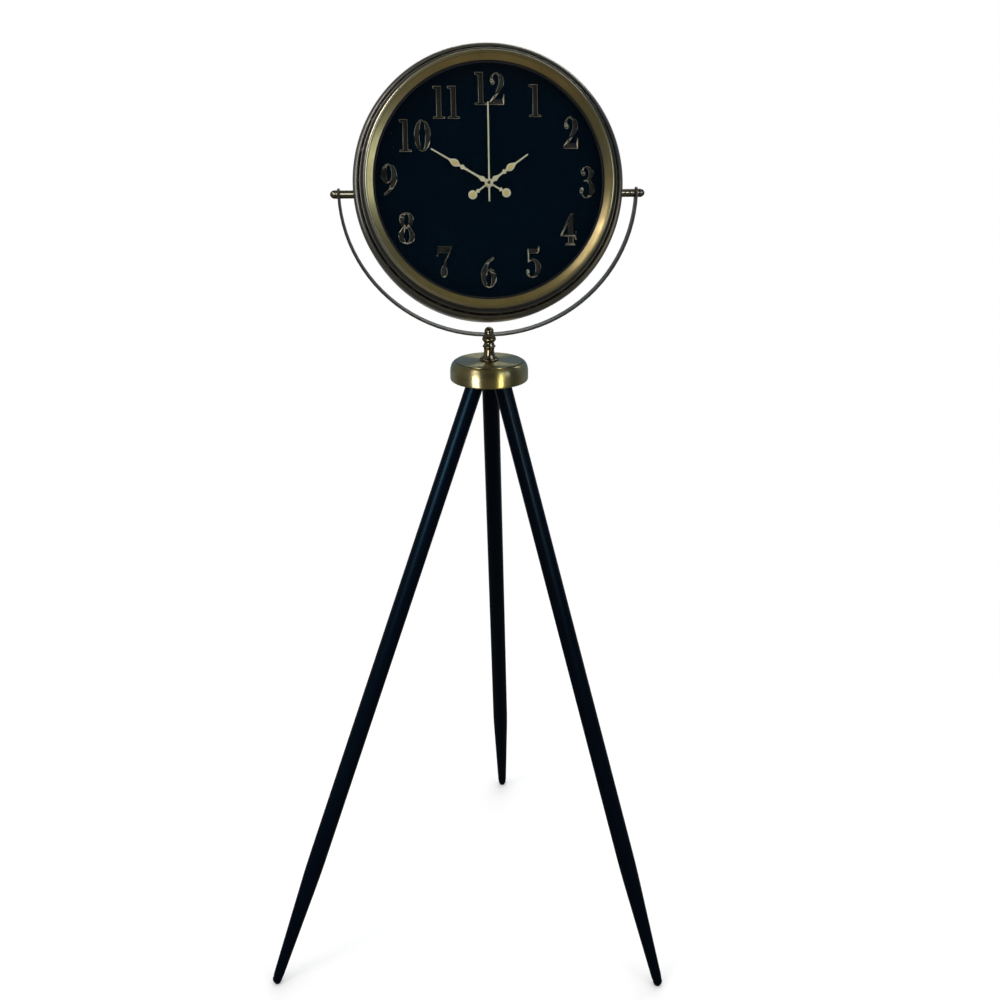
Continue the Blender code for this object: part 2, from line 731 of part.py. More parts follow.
def bezel_profile():
    """The gold ring: outer wall, crest, inward slope, lip and glass rebate."""
    crest = (bezel_crest_radius, bezel_crest_front - bezel_crest_round)
    under_lip = bezel_lip_front - bezel_lip_depth
    slope_end = bezel_lip_radius + bezel_lip_round
    outline = arc(crest, bezel_crest_round, bezel_crest_round, bezel_crest_start, 0, round_edge_steps + 1)
    outline += [(bezel_outer_radius, step_front), (bezel_outer_radius, bezel_back),
                (bezel_inner_radius, bezel_back), (bezel_inner_radius, under_lip),
                (bezel_lip_radius, under_lip), (bezel_lip_radius, bezel_lip_front - bezel_lip_round),
                (slope_end, bezel_lip_front)]
    return outline


def ring_profile(inner, outer, low, high):
    """A plain ring of rectangular section."""
    return [(inner, high), (outer, high), (outer, low), (inner, low)]


def make_drum(drum):
    """Case, bezel, glass and what is clamped under it, and the back cover."""
    case = turned("case_shell", case_profile(), drum, "bronze", drum_steps)
    reach = drum_radius + cut_overrun
    holes = cylinder_mesh("stud_hole", stud_bore, -reach, reach, small_steps)
    combine(case, add_cutter("stud_hole", holes, drum, location=(0, -pin_drop, 0),
                             rotation=(0, pi / 2, 0)))

    seat_top = seat_front - fit_gap
    turned("dial_seat", ring_profile(seat_inner_radius, seat_outer_radius, seat_top - seat_thickness,
                                     seat_top), drum, "bronze", drum_steps)
    turned("bezel_ring", bezel_profile(), drum, "gold", drum_steps)
    gasket_low = glass_front + fit_gap
    gasket_inner = bezel_lip_radius - gasket_reach
    gasket_lip = gasket_inner + gasket_lip_width - fit_gap
    gasket_top = gasket_low + gasket_thickness
    turned("glass_gasket", [(gasket_inner, gasket_top + gasket_lip_height),
                            (gasket_lip, gasket_top + gasket_lip_height),
                            (gasket_lip, gasket_top), (glass_radius, gasket_top),
                            (glass_radius, gasket_low), (gasket_inner, gasket_low)],
           drum, "rubber", drum_steps)
    turned("glass", [(0, glass_front), (glass_radius, glass_front), (glass_radius, glass_back),
                     (0, glass_back)], drum, "glass", drum_steps, closed=False)
    turned("spacer_ring", ring_profile(glass_radius - spacer_wall, glass_radius, bezel_back,
                                       glass_back - fit_gap), drum, "black plastic", drum_steps)
    turned("dial_plate", ring_profile(dial_bore, bezel_outer_radius, dial_front - dial_thickness,
                                      dial_front), drum, "dial black", drum_steps)
    cover_front = -drum_back - fit_gap
    cover_back = cover_front - cover_thickness
    rim = (cover_radius - cover_round, cover_back + cover_round)
    turned("back_cover", [(window_radius, cover_front), (cover_radius, cover_front),
                          *arc(rim, cover_round, cover_round, 0, -quarter, round_edge_steps - 1),
                          (window_radius, cover_back)], drum, "board", drum_steps)


def sleeve_profile(length):
    """A beaded spacer, from the strap's end at height length to the drum at zero."""
    outline = [(stud_bore, length), (sleeve_bead_radius, length)]
    pitch = length / sleeve_beads
    bead = pitch * sleeve_bead_share
    slope = bead + pitch * sleeve_slope_share
    for index in range(sleeve_beads):
        high = length - pitch * index
        low = high - pitch
        outline += [(sleeve_bead_radius, high - bead), (sleeve_radius, high - slope),
                    (sleeve_radius, low + slope), (sleeve_bead_radius, low + bead)]
    outline += [(sleeve_bead_radius, 0), (stud_bore, 0)]
    return outline


def make_pivot(head, drum, side, sign):
    """Stud, beaded sleeve, acorn nut and inner nut on one side of the head."""
    frame = empty(f"pivot_frame_{side}", head, rotation=(0, sign * pi / 2, 0))
    strap_inside = strap_reach - strap_thickness / 2 - fit_gap
    strap_outside = strap_reach + strap_thickness / 2 + fit_gap
    wall = drum_radius - drum_wall

    sleeve = turned(f"pivot_sleeve_{side}", sleeve_profile(strap_inside - wall), frame,
                    "polished brass", small_steps, location=(0, 0, wall))
    saddle = cylinder_mesh("saddle", drum_radius + fit_gap, -drum_back, step_front, drum_steps)
    combine(sleeve, add_cutter(f"saddle_{side}", saddle, drum))

    turned(f"pivot_acorn_{side}", domed_nut(acorn_radius, acorn_length, acorn_collar_length, stud_bore,
                                            stud_in_acorn + fit_gap),
           frame, "polished brass", small_steps, closed=False, location=(0, 0, strap_outside))
    add_piece(f"pivot_stud_{side}",
              cylinder_mesh("pivot_stud", stud_radius, wall - stud_in_drum,
                            strap_outside + stud_in_acorn, small_steps), frame, "steel")

    corner = pivot_nut_width / 2 / cos(pi / hex_sides)
    inner_flat = case_inner_radius * cos(pi / drum_steps)
    nut_high = sqrt(inner_flat ** 2 - (pin_drop + corner) ** 2) - fit_gap
    hex_nut(f"pivot_nut_{side}", pivot_nut_width, stud_bore, nut_high - pivot_nut_thickness,
            nut_high, frame)


def make_movement(drum):
    """The quartz movement, what holds it to the dial, and its battery."""
    middle = (movement_front + movement_back) / 2
    case = add_piece("movement_case", box_mesh("movement_case", (movement_width, movement_width,
                                                                 movement_thickness), (0, 0, middle)),
                     drum, "black plastic")
    bevel = case.modifiers.new("Corners", "BEVEL")
    bevel.width = movement_corner
    bevel.segments = 1
    bush = cylinder_mesh("bush", bush_radius, middle, dial_front + bush_rise, small_steps)
    combine(case, add_cutter("bush", bush, drum), "UNION")
    bush_hole = cylinder_mesh("bush_hole", bush_bore, movement_front - arbor_in_movement - fit_gap,
                              dial_front + bush_rise + cut_overrun, small_steps)
    combine(case, add_cutter("bush_hole", bush_hole, drum))

    bay_length = battery_length + battery_nub_length + 2 * (bay_end_space + contact_thickness + fit_gap)
    bay_width = 2 * (battery_radius + bay_clearance)
    bay_deep = movement_back + 2 * battery_radius
    bay_size = (bay_length, bay_width, bay_deep - movement_back + cut_overrun)
    bay_centre = (0, -battery_drop, (bay_deep + movement_back - cut_overrun) / 2)
    combine(case, add_cutter("battery_bay", box_mesh("battery_bay", bay_size, bay_centre), drum))
    knob_hole = cylinder_mesh("knob_hole", knob_stub_radius + fit_gap, movement_back - cut_overrun,
                              movement_back + knob_stub_length + fit_gap, small_steps)
    combine(case, add_cutter("knob_hole", knob_hole, drum, location=(knob_across, knob_up, 0)))

    battery_centre = movement_back + battery_radius - fit_gap
    half = battery_length / 2
    battery = [(0, half + battery_nub_length), (battery_nub_radius, half + battery_nub_length),
               (battery_nub_radius, half), (battery_radius, half), (battery_radius, -half), (0, -half)]
    turned("battery", battery, drum, "battery label", small_steps, closed=False,
           location=(-battery_nub_length / 2, -battery_drop, battery_centre), rotation=(0, pi / 2, 0))
    contact_size = (contact_thickness, contact_width, contact_width)
    contact_reach = bay_length / 2 - fit_gap - contact_thickness / 2
    for name, sign in (("contact_plus", 1), ("contact_minus", -1)):
        place = (sign * contact_reach, -battery_drop, battery_centre)
        add_piece(name, box_mesh(name, contact_size, place), drum, "steel")

    turned("rubber_washer", ring_profile(bush_radius + fit_gap, rubber_radius,
                                         movement_front + fit_gap, seat_front - fit_gap),
           drum, "rubber", small_steps)
    nut_low = dial_front + fit_gap
    turned("bush_nut", ring_profile(bush_radius + fit_gap, bush_nut_radius, nut_low,
                                    nut_low + bush_nut_thickness), drum, "pale brass", small_steps)


def make_knob(drum):
    """The knob that sets the hands, with its stub in the movement's back."""
    frame = empty("knob_axis", drum, location=(knob_across, knob_up, 0))
    face = movement_back - fit_gap
    back = face - knob_thickness
    outline = [(0, face + knob_stub_length), (knob_stub_radius, face + knob_stub_length),
               (knob_stub_radius, face), (knob_radius, face), (knob_radius, back + knob_chamfer),
               (knob_radius - knob_chamfer, back), (0, back)]
    turned("setting_knob", outline, frame, "black plastic", small_steps, closed=False)


def hand_outline(reach, leaf_reach, collar_reach):
    """Half of a hand's outline, (across, up), from the tip to the tail disc."""
    needle = hand_needle_width / 2
    leaf = hand_leaf_width / 2
    leaf_side = leaf * leaf_side_share
    collar = hand_collar_width / 2
    waist = hand_waist_width / 2
    notch_reach = (leaf_reach - hand_leaf_half_length + collar_reach) / 2 + waist
    half = [(needle * hand_point_share, reach), (needle, reach - needle),
            (needle, leaf_reach + hand_leaf_half_length + needle),
            (leaf_side, leaf_reach + leaf / 2), (leaf, leaf_reach), (leaf_side, leaf_reach - leaf / 2),
            (waist, notch_reach), (collar, collar_reach),
            (collar * hand_inner_share, collar_reach - waist),
            (waist, (collar_reach + hand_flare_reach) / 2), (hand_flare_width / 2, hand_flare_reach)]
    boss_start = acos(hand_flare_width / 2 * hand_inner_share / hand_boss_radius)
    half += [(hand_boss_radius * cos(a), hand_boss_radius * sin(a))
             for a in (boss_start, boss_start / 2, 0, -boss_start / 2, -boss_start)]
    tail_collar = hand_tail_collar_width / 2
    half += [(needle, -hand_boss_radius), (needle, tail_collar - hand_tail_collar_reach),
             (tail_collar, -hand_tail_collar_reach), (needle, -hand_tail_collar_reach - tail_collar / 2)]
    disc = hand_tail_disc_radius
    start = acos(needle / disc)
    for step in range(hand_disc_steps):
        a = start - (start + pi / 2) * step / hand_disc_steps
        half.append((disc * cos(a), disc * sin(a) - hand_tail_reach))
    return half


def mirrored(half, end_point):
    """Close a half outline round its axis, with one point on the axis at the tail."""
    return [*half, end_point, *[(-across, up) for across, up in reversed(half)]]


def digit_curve(name, digit, left, bottom):
    """One digit as a sheet with its lower left corner at the given place."""
    unit = numeral_height / digit_grid
    curve = bpy.data.curves.new(name, "CURVE")
    curve.dimensions = "2D"
    curve.fill_mode = "BOTH"
    curve.extrude = numeral_thickness / 2
    curve.resolution_u = numeral_curve_steps
    for outline in digit_shapes[digit]:
        if isinstance(outline, tuple):
            across, up, half_wide, half_high = outline
            outline = [(across + half_wide * cos(tau * step / oval_steps),
                        up + half_high * sin(tau * step / oval_steps)) for step in range(oval_steps)]
        spline = curve.splines.new("BEZIER")
        spline.bezier_points.add(len(outline) - 1)
        for knot, (across, up, *smooth) in zip(spline.bezier_points, outline):
            knot.co = (left + across * unit, bottom + up * unit, 0)
            knot.handle_left_type = "AUTO" if smooth else "VECTOR"
            knot.handle_right_type = knot.handle_left_type
        spline.use_cyclic_u = True
    return curve


def digit_width(digit):
    """How wide a digit is on its grid."""
    outline = digit_shapes[digit][0]
    if isinstance(outline, tuple):
        return 2 * outline[2]
    return max(point[0] for point in outline)


def make_numerals(drum):
    """Twelve upright numerals, each round its own place."""
    unit = numeral_height / digit_grid
    height = dial_front + fit_gap + numeral_thickness / 2
    for hour, (across, up) in numeral_places.items():
        digits = str(hour)
        widths = [digit_width(digit) * unit for digit in digits]
        wide = sum(widths) + digit_space * unit * (len(digits) - 1)
        left = drum_radius * across - wide / 2
        bottom = drum_radius * up - numeral_height / 2
        for place, (digit, width) in enumerate(zip(digits, widths)):
            name = f"numeral_{hour}"
            if len(digits) > 1:
                name += f"_{digit_places[len(digits) - 1 - place]}"
            add_piece(name, digit_curve(name, digit, left, bottom), drum, "numeral bronze",
                      location=(0, 0, height))
            left += width + digit_space * unit


def make_hands(drum):
    """Three hands, each on its own arbor, turned to their time."""
    tube_low = movement_front - arbor_in_movement
    tail = (0, -hand_tail_reach - hand_tail_disc_radius)

    hour = empty("hour_axis", drum, rotation=(0, 0, -hour_angle))
    outline = mirrored(hand_outline(hour_reach, hour_leaf_reach, hour_collar_reach), tail)
    flat_piece("hour_hand", [outline, circle(hour_tube_radius + fit_gap, small_steps)], hand_thickness,
               hour, "pale brass", location=(0, 0, hour_plane + hand_thickness / 2))
    turned("hour_tube", ring_profile(hour_tube_bore, hour_tube_radius, tube_low,
                                     hour_plane + hand_thickness), hour, "steel", small_steps)

    minute = empty("minute_axis", drum, rotation=(0, 0, -minute_angle))
    outline = mirrored(hand_outline(minute_reach, minute_leaf_reach, minute_collar_reach), tail)
    flat_piece("minute_hand", [outline, circle(minute_arbor_radius + fit_gap, small_steps)],
               hand_thickness, minute, "pale brass",
               location=(0, 0, minute_plane + hand_thickness / 2))
    turned("minute_arbor", ring_profile(minute_arbor_bore, minute_arbor_radius, tube_low,
                                        minute_plane + hand_thickness), minute, "steel", small_steps)

    second = empty("second_axis", drum, rotation=(0, 0, -second_angle))
    half_width = second_width / 2
    start = acos(half_width / second_boss_radius)
    half = [(half_width * hand_point_share, second_reach)]
    half += [(second_boss_radius * cos(a), second_boss_radius * sin(a))
             for a in (start, start / 2, 0, -start / 2, -start)]
    half.append((half_width, -second_tail_reach))
    blade = sheet_mesh("second_hand", mirrored(half, (0, -second_tail_reach)), second_plane,
                       second_plane + hand_thickness)
    hand = add_piece("second_hand", blade, second, "pale brass")
    cap_low = second_plane + hand_thickness / 2
    cap_top = cap_low + second_cap_height
    arbor = [(0, cap_top), (second_cap_radius - hand_thickness / 2, cap_top),
             (second_cap_radius, cap_top - hand_thickness / 2), (second_cap_radius, cap_low),
             (second_arbor_radius, cap_low), (second_arbor_radius, tube_low), (0, tube_low)]
    tube = add_cutter("second_tube", profile_mesh("second_tube", arbor, False), second)
    turn(tube, small_steps)
    combine(hand, tube, "UNION")


def world_corners():
    """Lowest and highest corner of all the pieces as they are drawn."""
    bpy.context.view_layer.update()
    depsgraph = bpy.context.evaluated_depsgraph_get()
    low = Vector.Fill(dimensions, float("inf"))
    high = -low
    for piece in parts.objects:
        if piece.type == "EMPTY":
            continue
        drawn = piece.evaluated_get(depsgraph)
        mesh = drawn.to_mesh()
        for vertex in mesh.vertices:
            place = drawn.matrix_world @ vertex.co
            low = Vector(map(min, low, place))
            high = Vector(map(max, high, place))
        drawn.to_mesh_clear()
    return low, high


def build():
    """Make the clock and set its origin on the floor, in the middle of its box."""
    clear_scene()
    root = empty("clock_root")
    leg_frames = {side: make_leg(root, side) for side in leg_directions}
    make_hub(root, leg_frames)
    turned("stem", stem_profile(), root, "polished brass", stem_steps,
           location=(0, 0, hub_top_height + fit_gap))

    yoke = empty("yoke_axis", root, (0, 0, pin_height), (0, 0, head_yaw))
    make_yoke(yoke)
    head = empty("tilt_axis", yoke, rotation=(-head_tilt_back, 0, 0))
    drum = empty("drum_axis", head, (0, 0, pin_drop), (pi / 2, 0, 0))
    make_drum(drum)
    for side, sign in (("left", -1), ("right", 1)):
        make_pivot(head, drum, side, sign)
    make_movement(drum)
    make_knob(drum)
    make_numerals(drum)
    make_hands(drum)

    low, high = world_corners()
    root.location = (-(low.x + high.x) / 2, -(low.y + high.y) / 2, -low.z)
    bpy.context.view_layer.update()
    print("box", [round(value, printed_places) for value in high - low])
    for frame in (root, yoke, head, drum):
        print(frame.name, [round(value, printed_places) for value in frame.matrix_world.translation])
    print("dial normal", [round(value, printed_places) for value in drum.matrix_world.col[2].xyz])
    print("pin axis", [round(value, printed_places) for value in yoke.matrix_world.col[0].xyz])


build()
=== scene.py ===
# %% [markdown]
# # A tripod floor clock
# A round clock head tilts in a half-round yoke, which turns on a short brass stem over a brushed
# hub with three slim lacquered legs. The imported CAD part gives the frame: where each piece is and
# which body it moves with. This lesson models the pieces again with finer edges and curves, gives
# each one its finish, and then adds a camera, lamps and a floor.

import json
from math import atan2, cos, hypot, radians, sin, tan, tau

import bmesh
import bpy
from mathutils import Matrix, Vector


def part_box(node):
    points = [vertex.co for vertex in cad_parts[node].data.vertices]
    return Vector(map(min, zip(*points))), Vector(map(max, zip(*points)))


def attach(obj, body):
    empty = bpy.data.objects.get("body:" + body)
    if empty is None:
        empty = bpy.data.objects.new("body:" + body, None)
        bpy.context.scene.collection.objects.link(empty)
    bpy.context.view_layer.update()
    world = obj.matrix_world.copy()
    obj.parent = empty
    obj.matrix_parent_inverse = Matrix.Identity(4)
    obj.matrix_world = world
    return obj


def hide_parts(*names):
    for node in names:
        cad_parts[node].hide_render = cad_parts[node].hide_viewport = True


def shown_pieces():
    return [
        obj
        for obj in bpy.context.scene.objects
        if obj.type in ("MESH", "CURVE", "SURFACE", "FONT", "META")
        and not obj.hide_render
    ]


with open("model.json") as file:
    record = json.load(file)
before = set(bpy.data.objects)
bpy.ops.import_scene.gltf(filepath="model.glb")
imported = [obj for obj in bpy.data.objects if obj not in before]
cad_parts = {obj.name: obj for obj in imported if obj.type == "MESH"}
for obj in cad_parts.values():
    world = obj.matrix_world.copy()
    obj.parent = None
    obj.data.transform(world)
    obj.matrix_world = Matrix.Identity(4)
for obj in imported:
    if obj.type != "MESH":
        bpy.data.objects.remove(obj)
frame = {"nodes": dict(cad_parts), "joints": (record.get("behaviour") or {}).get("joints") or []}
nodes = frame["nodes"]
joints = {joint["name"]: joint for joint in frame["joints"]}
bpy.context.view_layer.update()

# %% [markdown]
# The camera comes first, because every later look is judged through it. A photograph of a round
# clock from slightly above shows the dial as an ellipse, and the legs run together towards the
# floor. Both depend on the distance more than on the lens, so the place was fitted to the object's
# outline and is kept as numbers.

# %% Camera
camera_data = bpy.data.cameras.new("photo_camera")
camera_data.lens = 37.83
camera_data.sensor_width = 36
camera = bpy.data.objects.new("photo_camera", camera_data)
camera.location = (0.14084, -1.70106, 1.49390)
camera.rotation_euler = (radians(68.365), 0, radians(3.315))
bpy.context.scene.collection.objects.link(camera)
bpy.context.scene.camera = camera
print("camera", tuple(round(v, 3) for v in camera.location))

# %% [markdown]
# Three places carry most of the clock: the stand's upright axis, the pins that the head tilts on,
# and the middle of the dial. The joints hold them already, so they are read from the joints and
# not typed again. Each place is a matrix, whose columns say where right, up and forward point.

# %% Places
def place_of(origin, right, up):
    """A matrix at an origin, with X to the right, Y up and Z out of the XY plane."""
    out = right.cross(up)
    place = Matrix((right, up, out)).transposed().to_4x4()
    place.translation = origin
    return place


swivel = Vector(joints["yoke_swivel"]["pos_m"])
pins = Vector(joints["head_tilt"]["pos_m"])
arbor = Vector(joints["second_hand_turn"]["pos_m"])
across = Vector(joints["head_tilt"]["axis"]).normalized()
dial_normal = -Vector(joints["second_hand_turn"]["axis"]).normalized()
stand_place = Matrix.Translation((swivel.x, swivel.y, 0))
head_place = place_of(arbor, across, dial_normal.cross(across))
print("pins", tuple(round(v, 4) for v in pins), "dial", tuple(round(v, 4) for v in arbor))

# %% [markdown]
# Most pieces of this clock come off a lathe, so the first tool is a lathe. It takes an outline of
# (radius, height) points, spins it round an axis with the spin operator and closes the seam. It
# also writes a UV map: U counts turns and V counts metres along the outline. A brushed finish
# needs that, because its fine lines run round the piece and not along the world's axes.

# %% A lathe
same_point = 1e-6


def add_piece(name, shape, place, body, finish, crease=radians(32)):
    """Turn a bmesh into a finished piece that rides on a body."""
    bmesh.ops.transform(shape, matrix=place, verts=shape.verts)
    mesh = bpy.data.meshes.new(name)
    shape.to_mesh(mesh)
    shape.free()
    mesh.shade_smooth()
    mesh.set_sharp_from_angle(angle=crease)
    piece = bpy.data.objects.new(name, mesh)
    bpy.context.scene.collection.objects.link(piece)
    mesh.materials.append(finish)
    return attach(piece, body)


def unwrap_turns(shape, lengths):
    """Write U as turns round the Z axis and V as metres along the outline."""
    uv = shape.loops.layers.uv.new("turned")
    for face in shape.faces:
        round_axis = [loop for loop in face.loops if hypot(*loop.vert.co.xy) > same_point]
        turns = {loop: atan2(loop.vert.co.y, loop.vert.co.x) / tau % 1 for loop in round_axis}
        if max(turns.values()) - min(turns.values()) > 0.5:
            turns = {loop: turn + 1 if turn < 0.5 else turn for loop, turn in turns.items()}
        middle = sum(turns.values()) / len(turns)
        for loop in face.loops:
            loop[uv].uv = (turns.get(loop, middle), loop.vert[lengths])


def lathe(outline, steps=96, closed=True):
    """Spin an outline of (radius, height) points round the Z axis."""
    shape = bmesh.new()
    lengths = shape.verts.layers.float.new("along")
    points = [shape.verts.new((radius, 0, height)) for radius, height in outline]
    edges = [shape.edges.new(pair) for pair in zip(points, points[1:])]
    for before, point in zip(points, points[1:]):
        point[lengths] = before[lengths] + (point.co - before.co).length
    if closed:
        edges.append(shape.edges.new((points[-1], points[0])))
    bmesh.ops.spin(shape, geom=points + edges, axis=(0, 0, 1), cent=(0, 0, 0), angle=tau,
                   steps=steps, use_merge=True)
    bmesh.ops.remove_doubles(shape, verts=shape.verts, dist=same_point)
    bmesh.ops.recalc_face_normals(shape, faces=shape.faces)
    unwrap_turns(shape, lengths)
    return shape


# %% [markdown]
# No turned edge is perfectly sharp. Light catches the small round on it, and that thin bright line
# tells the eye that the piece is metal. So outlines are typed as corners, and a third number says
# how far a corner is eased. A bead or a cove is an arc of an ellipse.

# %% Outlines
def eased(corners, steps=4):
    """Round the corners of an outline. A corner is (radius, height) or (radius, height, ease)."""
    outline = []
    for index, (radius, height, *ease) in enumerate(corners):
        here = Vector((radius, height))
        if not ease:
            outline.append((radius, height))
            continue
        before = Vector(corners[index - 1][:2]) - here
        after = Vector(corners[(index + 1) % len(corners)][:2]) - here
        start = here + before.normalized() * min(ease[0], before.length / 2)
        end = here + after.normalized() * min(ease[0], after.length / 2)
        for step in range(steps + 1):
            t = step / steps
            point = start * (1 - t) ** 2 + here * 2 * t * (1 - t) + end * t * t
            outline.append((point.x, point.y))
    return outline


def arc(centre, wide, high, start, end, steps=12):
    """Points on an ellipse. Angles are in degrees, from +X towards +Z."""
    turns = [radians(start + (end - start) * step / steps) for step in range(steps + 1)]
    return [(centre[0] + wide * cos(turn), centre[1] + high * sin(turn)) for turn in turns]


print("lathe and outlines are ready")

# %% [markdown]
# A finish is a small network of shader nodes. One helper adds a node and wires its inputs, so that
# each finish below reads as a short recipe, and a few more do what every recipe needs: blend two
# colours, map a range, add or multiply, and feed the result to the shader.

# %% Shader helpers
def add_node(tree, kind, inputs=None, **settings):
    """Add a shader node. An input is a plain value or another node's output."""
    made = tree.nodes.new(kind)
    for key, value in settings.items():
        setattr(made, key, value)
    for key, value in (inputs or {}).items():
        if isinstance(value, bpy.types.NodeSocket):
            tree.links.new(value, made.inputs[key])
        else:
            made.inputs[key].default_value = value
    return made


def new_finish(name, **constants):
    """A material with one Principled shader. The constants are set on its own sockets."""
    material = bpy.data.materials.new(name)
    material.use_nodes = True
    shader = material.node_tree.nodes["Principled BSDF"]
    for key, value in constants.items():
        shader.inputs[key.replace("_", " ").title().replace("Ior", "IOR")].default_value = value
    return material, material.node_tree, shader


def mix(tree, factor, first, second):
    """Blend two colours and return the result's socket."""
    blend = tree.nodes.new("ShaderNodeMix")
    blend.data_type = "RGBA"
    for index, value in ((0, factor), (6, first), (7, second)):
        if isinstance(value, bpy.types.NodeSocket):
            tree.links.new(value, blend.inputs[index])
        else:
            blend.inputs[index].default_value = value if index == 0 else (*value, 1)
    return blend.outputs[2]


def spread(tree, value, low, high, to_low=0.0, to_high=1.0):
    """Map a value's range from low..high to another range."""
    return add_node(tree, "ShaderNodeMapRange",
                    {"Value": value, "From Min": low, "From Max": high, "To Min": to_low,
                     "To Max": to_high}).outputs["Result"]


def calculate(tree, kind, *values):
    """A sum or another calculation on numbers and sockets."""
    return add_node(tree, "ShaderNodeMath", dict(enumerate(values)), operation=kind).outputs[0]


def wire(tree, shader, colour, gloss):
    """Feed a colour and a roughness to the shader."""
    tree.links.new(colour, shader.inputs["Base Color"])
    tree.links.new(gloss, shader.inputs["Roughness"])


def bump(tree, shader, height, distance, strength=1.0):
    """Feed a height in metres to the shader's normal."""
    made = add_node(tree, "ShaderNodeBump",
                    {"Height": height, "Distance": distance, "Strength": strength})
    tree.links.new(made.outputs["Normal"], shader.inputs["Normal"])


print("shader helpers are ready")

# %% [markdown]
# Colours that change over the surface come from noise in metres, so the grain keeps its real size
# on a large piece and on a small one. A plain piece reads its object coordinates. A turned piece
# reads its turned UV map, and the turns go through sine and cosine first, so that the pattern
# closes round the piece without a seam.

# %% Patterns
def noise(tree, vector, scale, detail=2.0, roughness=0.5):
    """Noise between 0 and 1."""
    return add_node(tree, "ShaderNodeTexNoise",
                    {"Vector": vector, "Scale": scale, "Detail": detail,
                     "Roughness": roughness}).outputs["Fac"]


def object_vector(tree, scale=(1, 1, 1), place=None):
    """Coordinates in metres, turned to a place and stretched by a scale."""
    source = add_node(tree, "ShaderNodeTexCoord").outputs["Object"]
    if place:
        back = place.inverted()
        source = add_node(tree, "ShaderNodeMapping",
                          {"Vector": source, "Location": back.translation,
                           "Rotation": back.to_euler()}).outputs["Vector"]
    return add_node(tree, "ShaderNodeMapping", {"Vector": source, "Scale": scale}).outputs["Vector"]


def turned_uv(tree):
    """The turned UV map as two sockets: turns round the piece and metres along its outline."""
    uv = add_node(tree, "ShaderNodeUVMap", uv_map="turned").outputs["UV"]
    return add_node(tree, "ShaderNodeSeparateXYZ", {"Vector": uv}).outputs[:2]


def turned_vector(tree, around, along):
    """A vector that changes slowly round a turned piece and quickly along its outline."""
    turns, lengths = turned_uv(tree)
    angle = calculate(tree, "MULTIPLY", turns, tau)
    whole = add_node(tree, "ShaderNodeCombineXYZ",
                     {"X": calculate(tree, "COSINE", angle), "Y": calculate(tree, "SINE", angle),
                      "Z": lengths}).outputs["Vector"]
    return add_node(tree, "ShaderNodeMapping",
                    {"Vector": whole, "Scale": (around, around, along)}).outputs["Vector"]


print("patterns are ready")

# %% [markdown]
# Antique brass is brass that has been darkened and then rubbed back. The rubbing leaves lines that
# run round the piece, bright metal where the cloth reached and a brown film where it didn't. So the
# colour goes between a rubbed and a dark tone along the lines, with soft cloudy patches on top, and
# the same lines drive the roughness and a very low bump. The film stays thickest in grooves, which
# an ambient occlusion node finds. The bezel's crest gets a painted highlight, strong on its left
# side and faint elsewhere, and a grey tone outside it.

# %% Antique metals
def paint_crest_highlight(tree, colour, gloss, crest, crest_width, outer_side_start):
    """A grey tone on the outer side of an outline's crest, and a highlight painted on the crest,
    strong on the left side.
    """
    # Painted highlight: the crest colour is bright on the left side, where the light falls, and
    # faint elsewhere.
    outer_side_colour, crest_highlight_colour, crest_highlight_gloss = (0.25, 0.24, 0.21), (1.0, 0.92, 0.68), 0.27
    turns, lengths = turned_uv(tree)
    under = spread(tree, lengths, outer_side_start, outer_side_start + 0.002, 0.0, 0.85)
    colour = mix(tree, under, colour, outer_side_colour)
    offset = calculate(tree, "ABSOLUTE", calculate(tree, "SUBTRACT", lengths, crest))
    from_left = calculate(tree, "ABSOLUTE", calculate(tree, "SUBTRACT", turns, 0.5))
    edge = calculate(tree, "MULTIPLY", spread(tree, offset, crest_width, crest_width * 0.4),
                     spread(tree, from_left, 0.12, 0.24, 1.0, 0.10))
    return mix(tree, edge, colour, crest_highlight_colour), spread(tree, edge, 0.0, 1.0, gloss, crest_highlight_gloss)


def antique_metal(name, rubbed, dark, roughness, line_depth, lines=2600, around=1.5, streak=0.45,
                  turned=True, anisotropic=0.0, metallic=1.0, patina=0.0, rim=(1, 1, 1, 1),
                  crest_highlight_and_outer_side=None):
    """Metal with rubbed lines. Lines are per metre of outline, their depth is in metres.

    Rim tints the metal where it is seen edge on, which paints a reflection there. The crest
    argument is where along the outline the crest is, how wide its painted highlight is, and where
    the grey tone behind it starts, in metres.
    """
    material, tree, shader = new_finish(name, metallic=metallic, anisotropic=anisotropic,
                                        anisotropic_rotation=0.25, specular_tint=rim)
    line_vector = (turned_vector(tree, around, lines) if turned
                   else object_vector(tree, (lines / 6, lines / 6, lines / 6)))
    fine = noise(tree, line_vector, 1.0, 3.0, 0.6)
    cloud = noise(tree, object_vector(tree), 28.0, 3.0, 0.55)
    film = spread(tree, cloud, 0.35, 0.70)
    scratched = spread(tree, fine, 0.30, 0.70, 0.5 - streak, 0.5 + streak)
    weight = calculate(tree, "MULTIPLY", calculate(tree, "ADD", scratched, film), 0.5)
    colour = mix(tree, weight, rubbed, dark)
    if patina:
        groove_reach, groove_share = 0.005, 0.08
        shelter = add_node(tree, "ShaderNodeAmbientOcclusion", {"Distance": groove_reach},
                           samples=4, only_local=True)
        groove = spread(tree, shelter.outputs["AO"], 0.85, 0.45, 0.0, patina)
        colour = mix(tree, groove, colour, tuple(value * groove_share for value in dark))
    gloss = spread(tree, weight, 0.2, 0.8, *roughness)
    # A painted highlight on the crest, with a grey tone outside it.
    if crest_highlight_and_outer_side:
        colour, gloss = paint_crest_highlight(tree, colour, gloss, *crest_highlight_and_outer_side)
    wire(tree, shader, colour, gloss)
    if anisotropic:
        tangent = add_node(tree, "ShaderNodeTangent", direction_type="UV_MAP", uv_map="turned")
        tree.links.new(tangent.outputs["Tangent"], shader.inputs["Tangent"])
    bump(tree, shader, fine, line_depth)
    return material


print("the recipe for antique metal is ready")
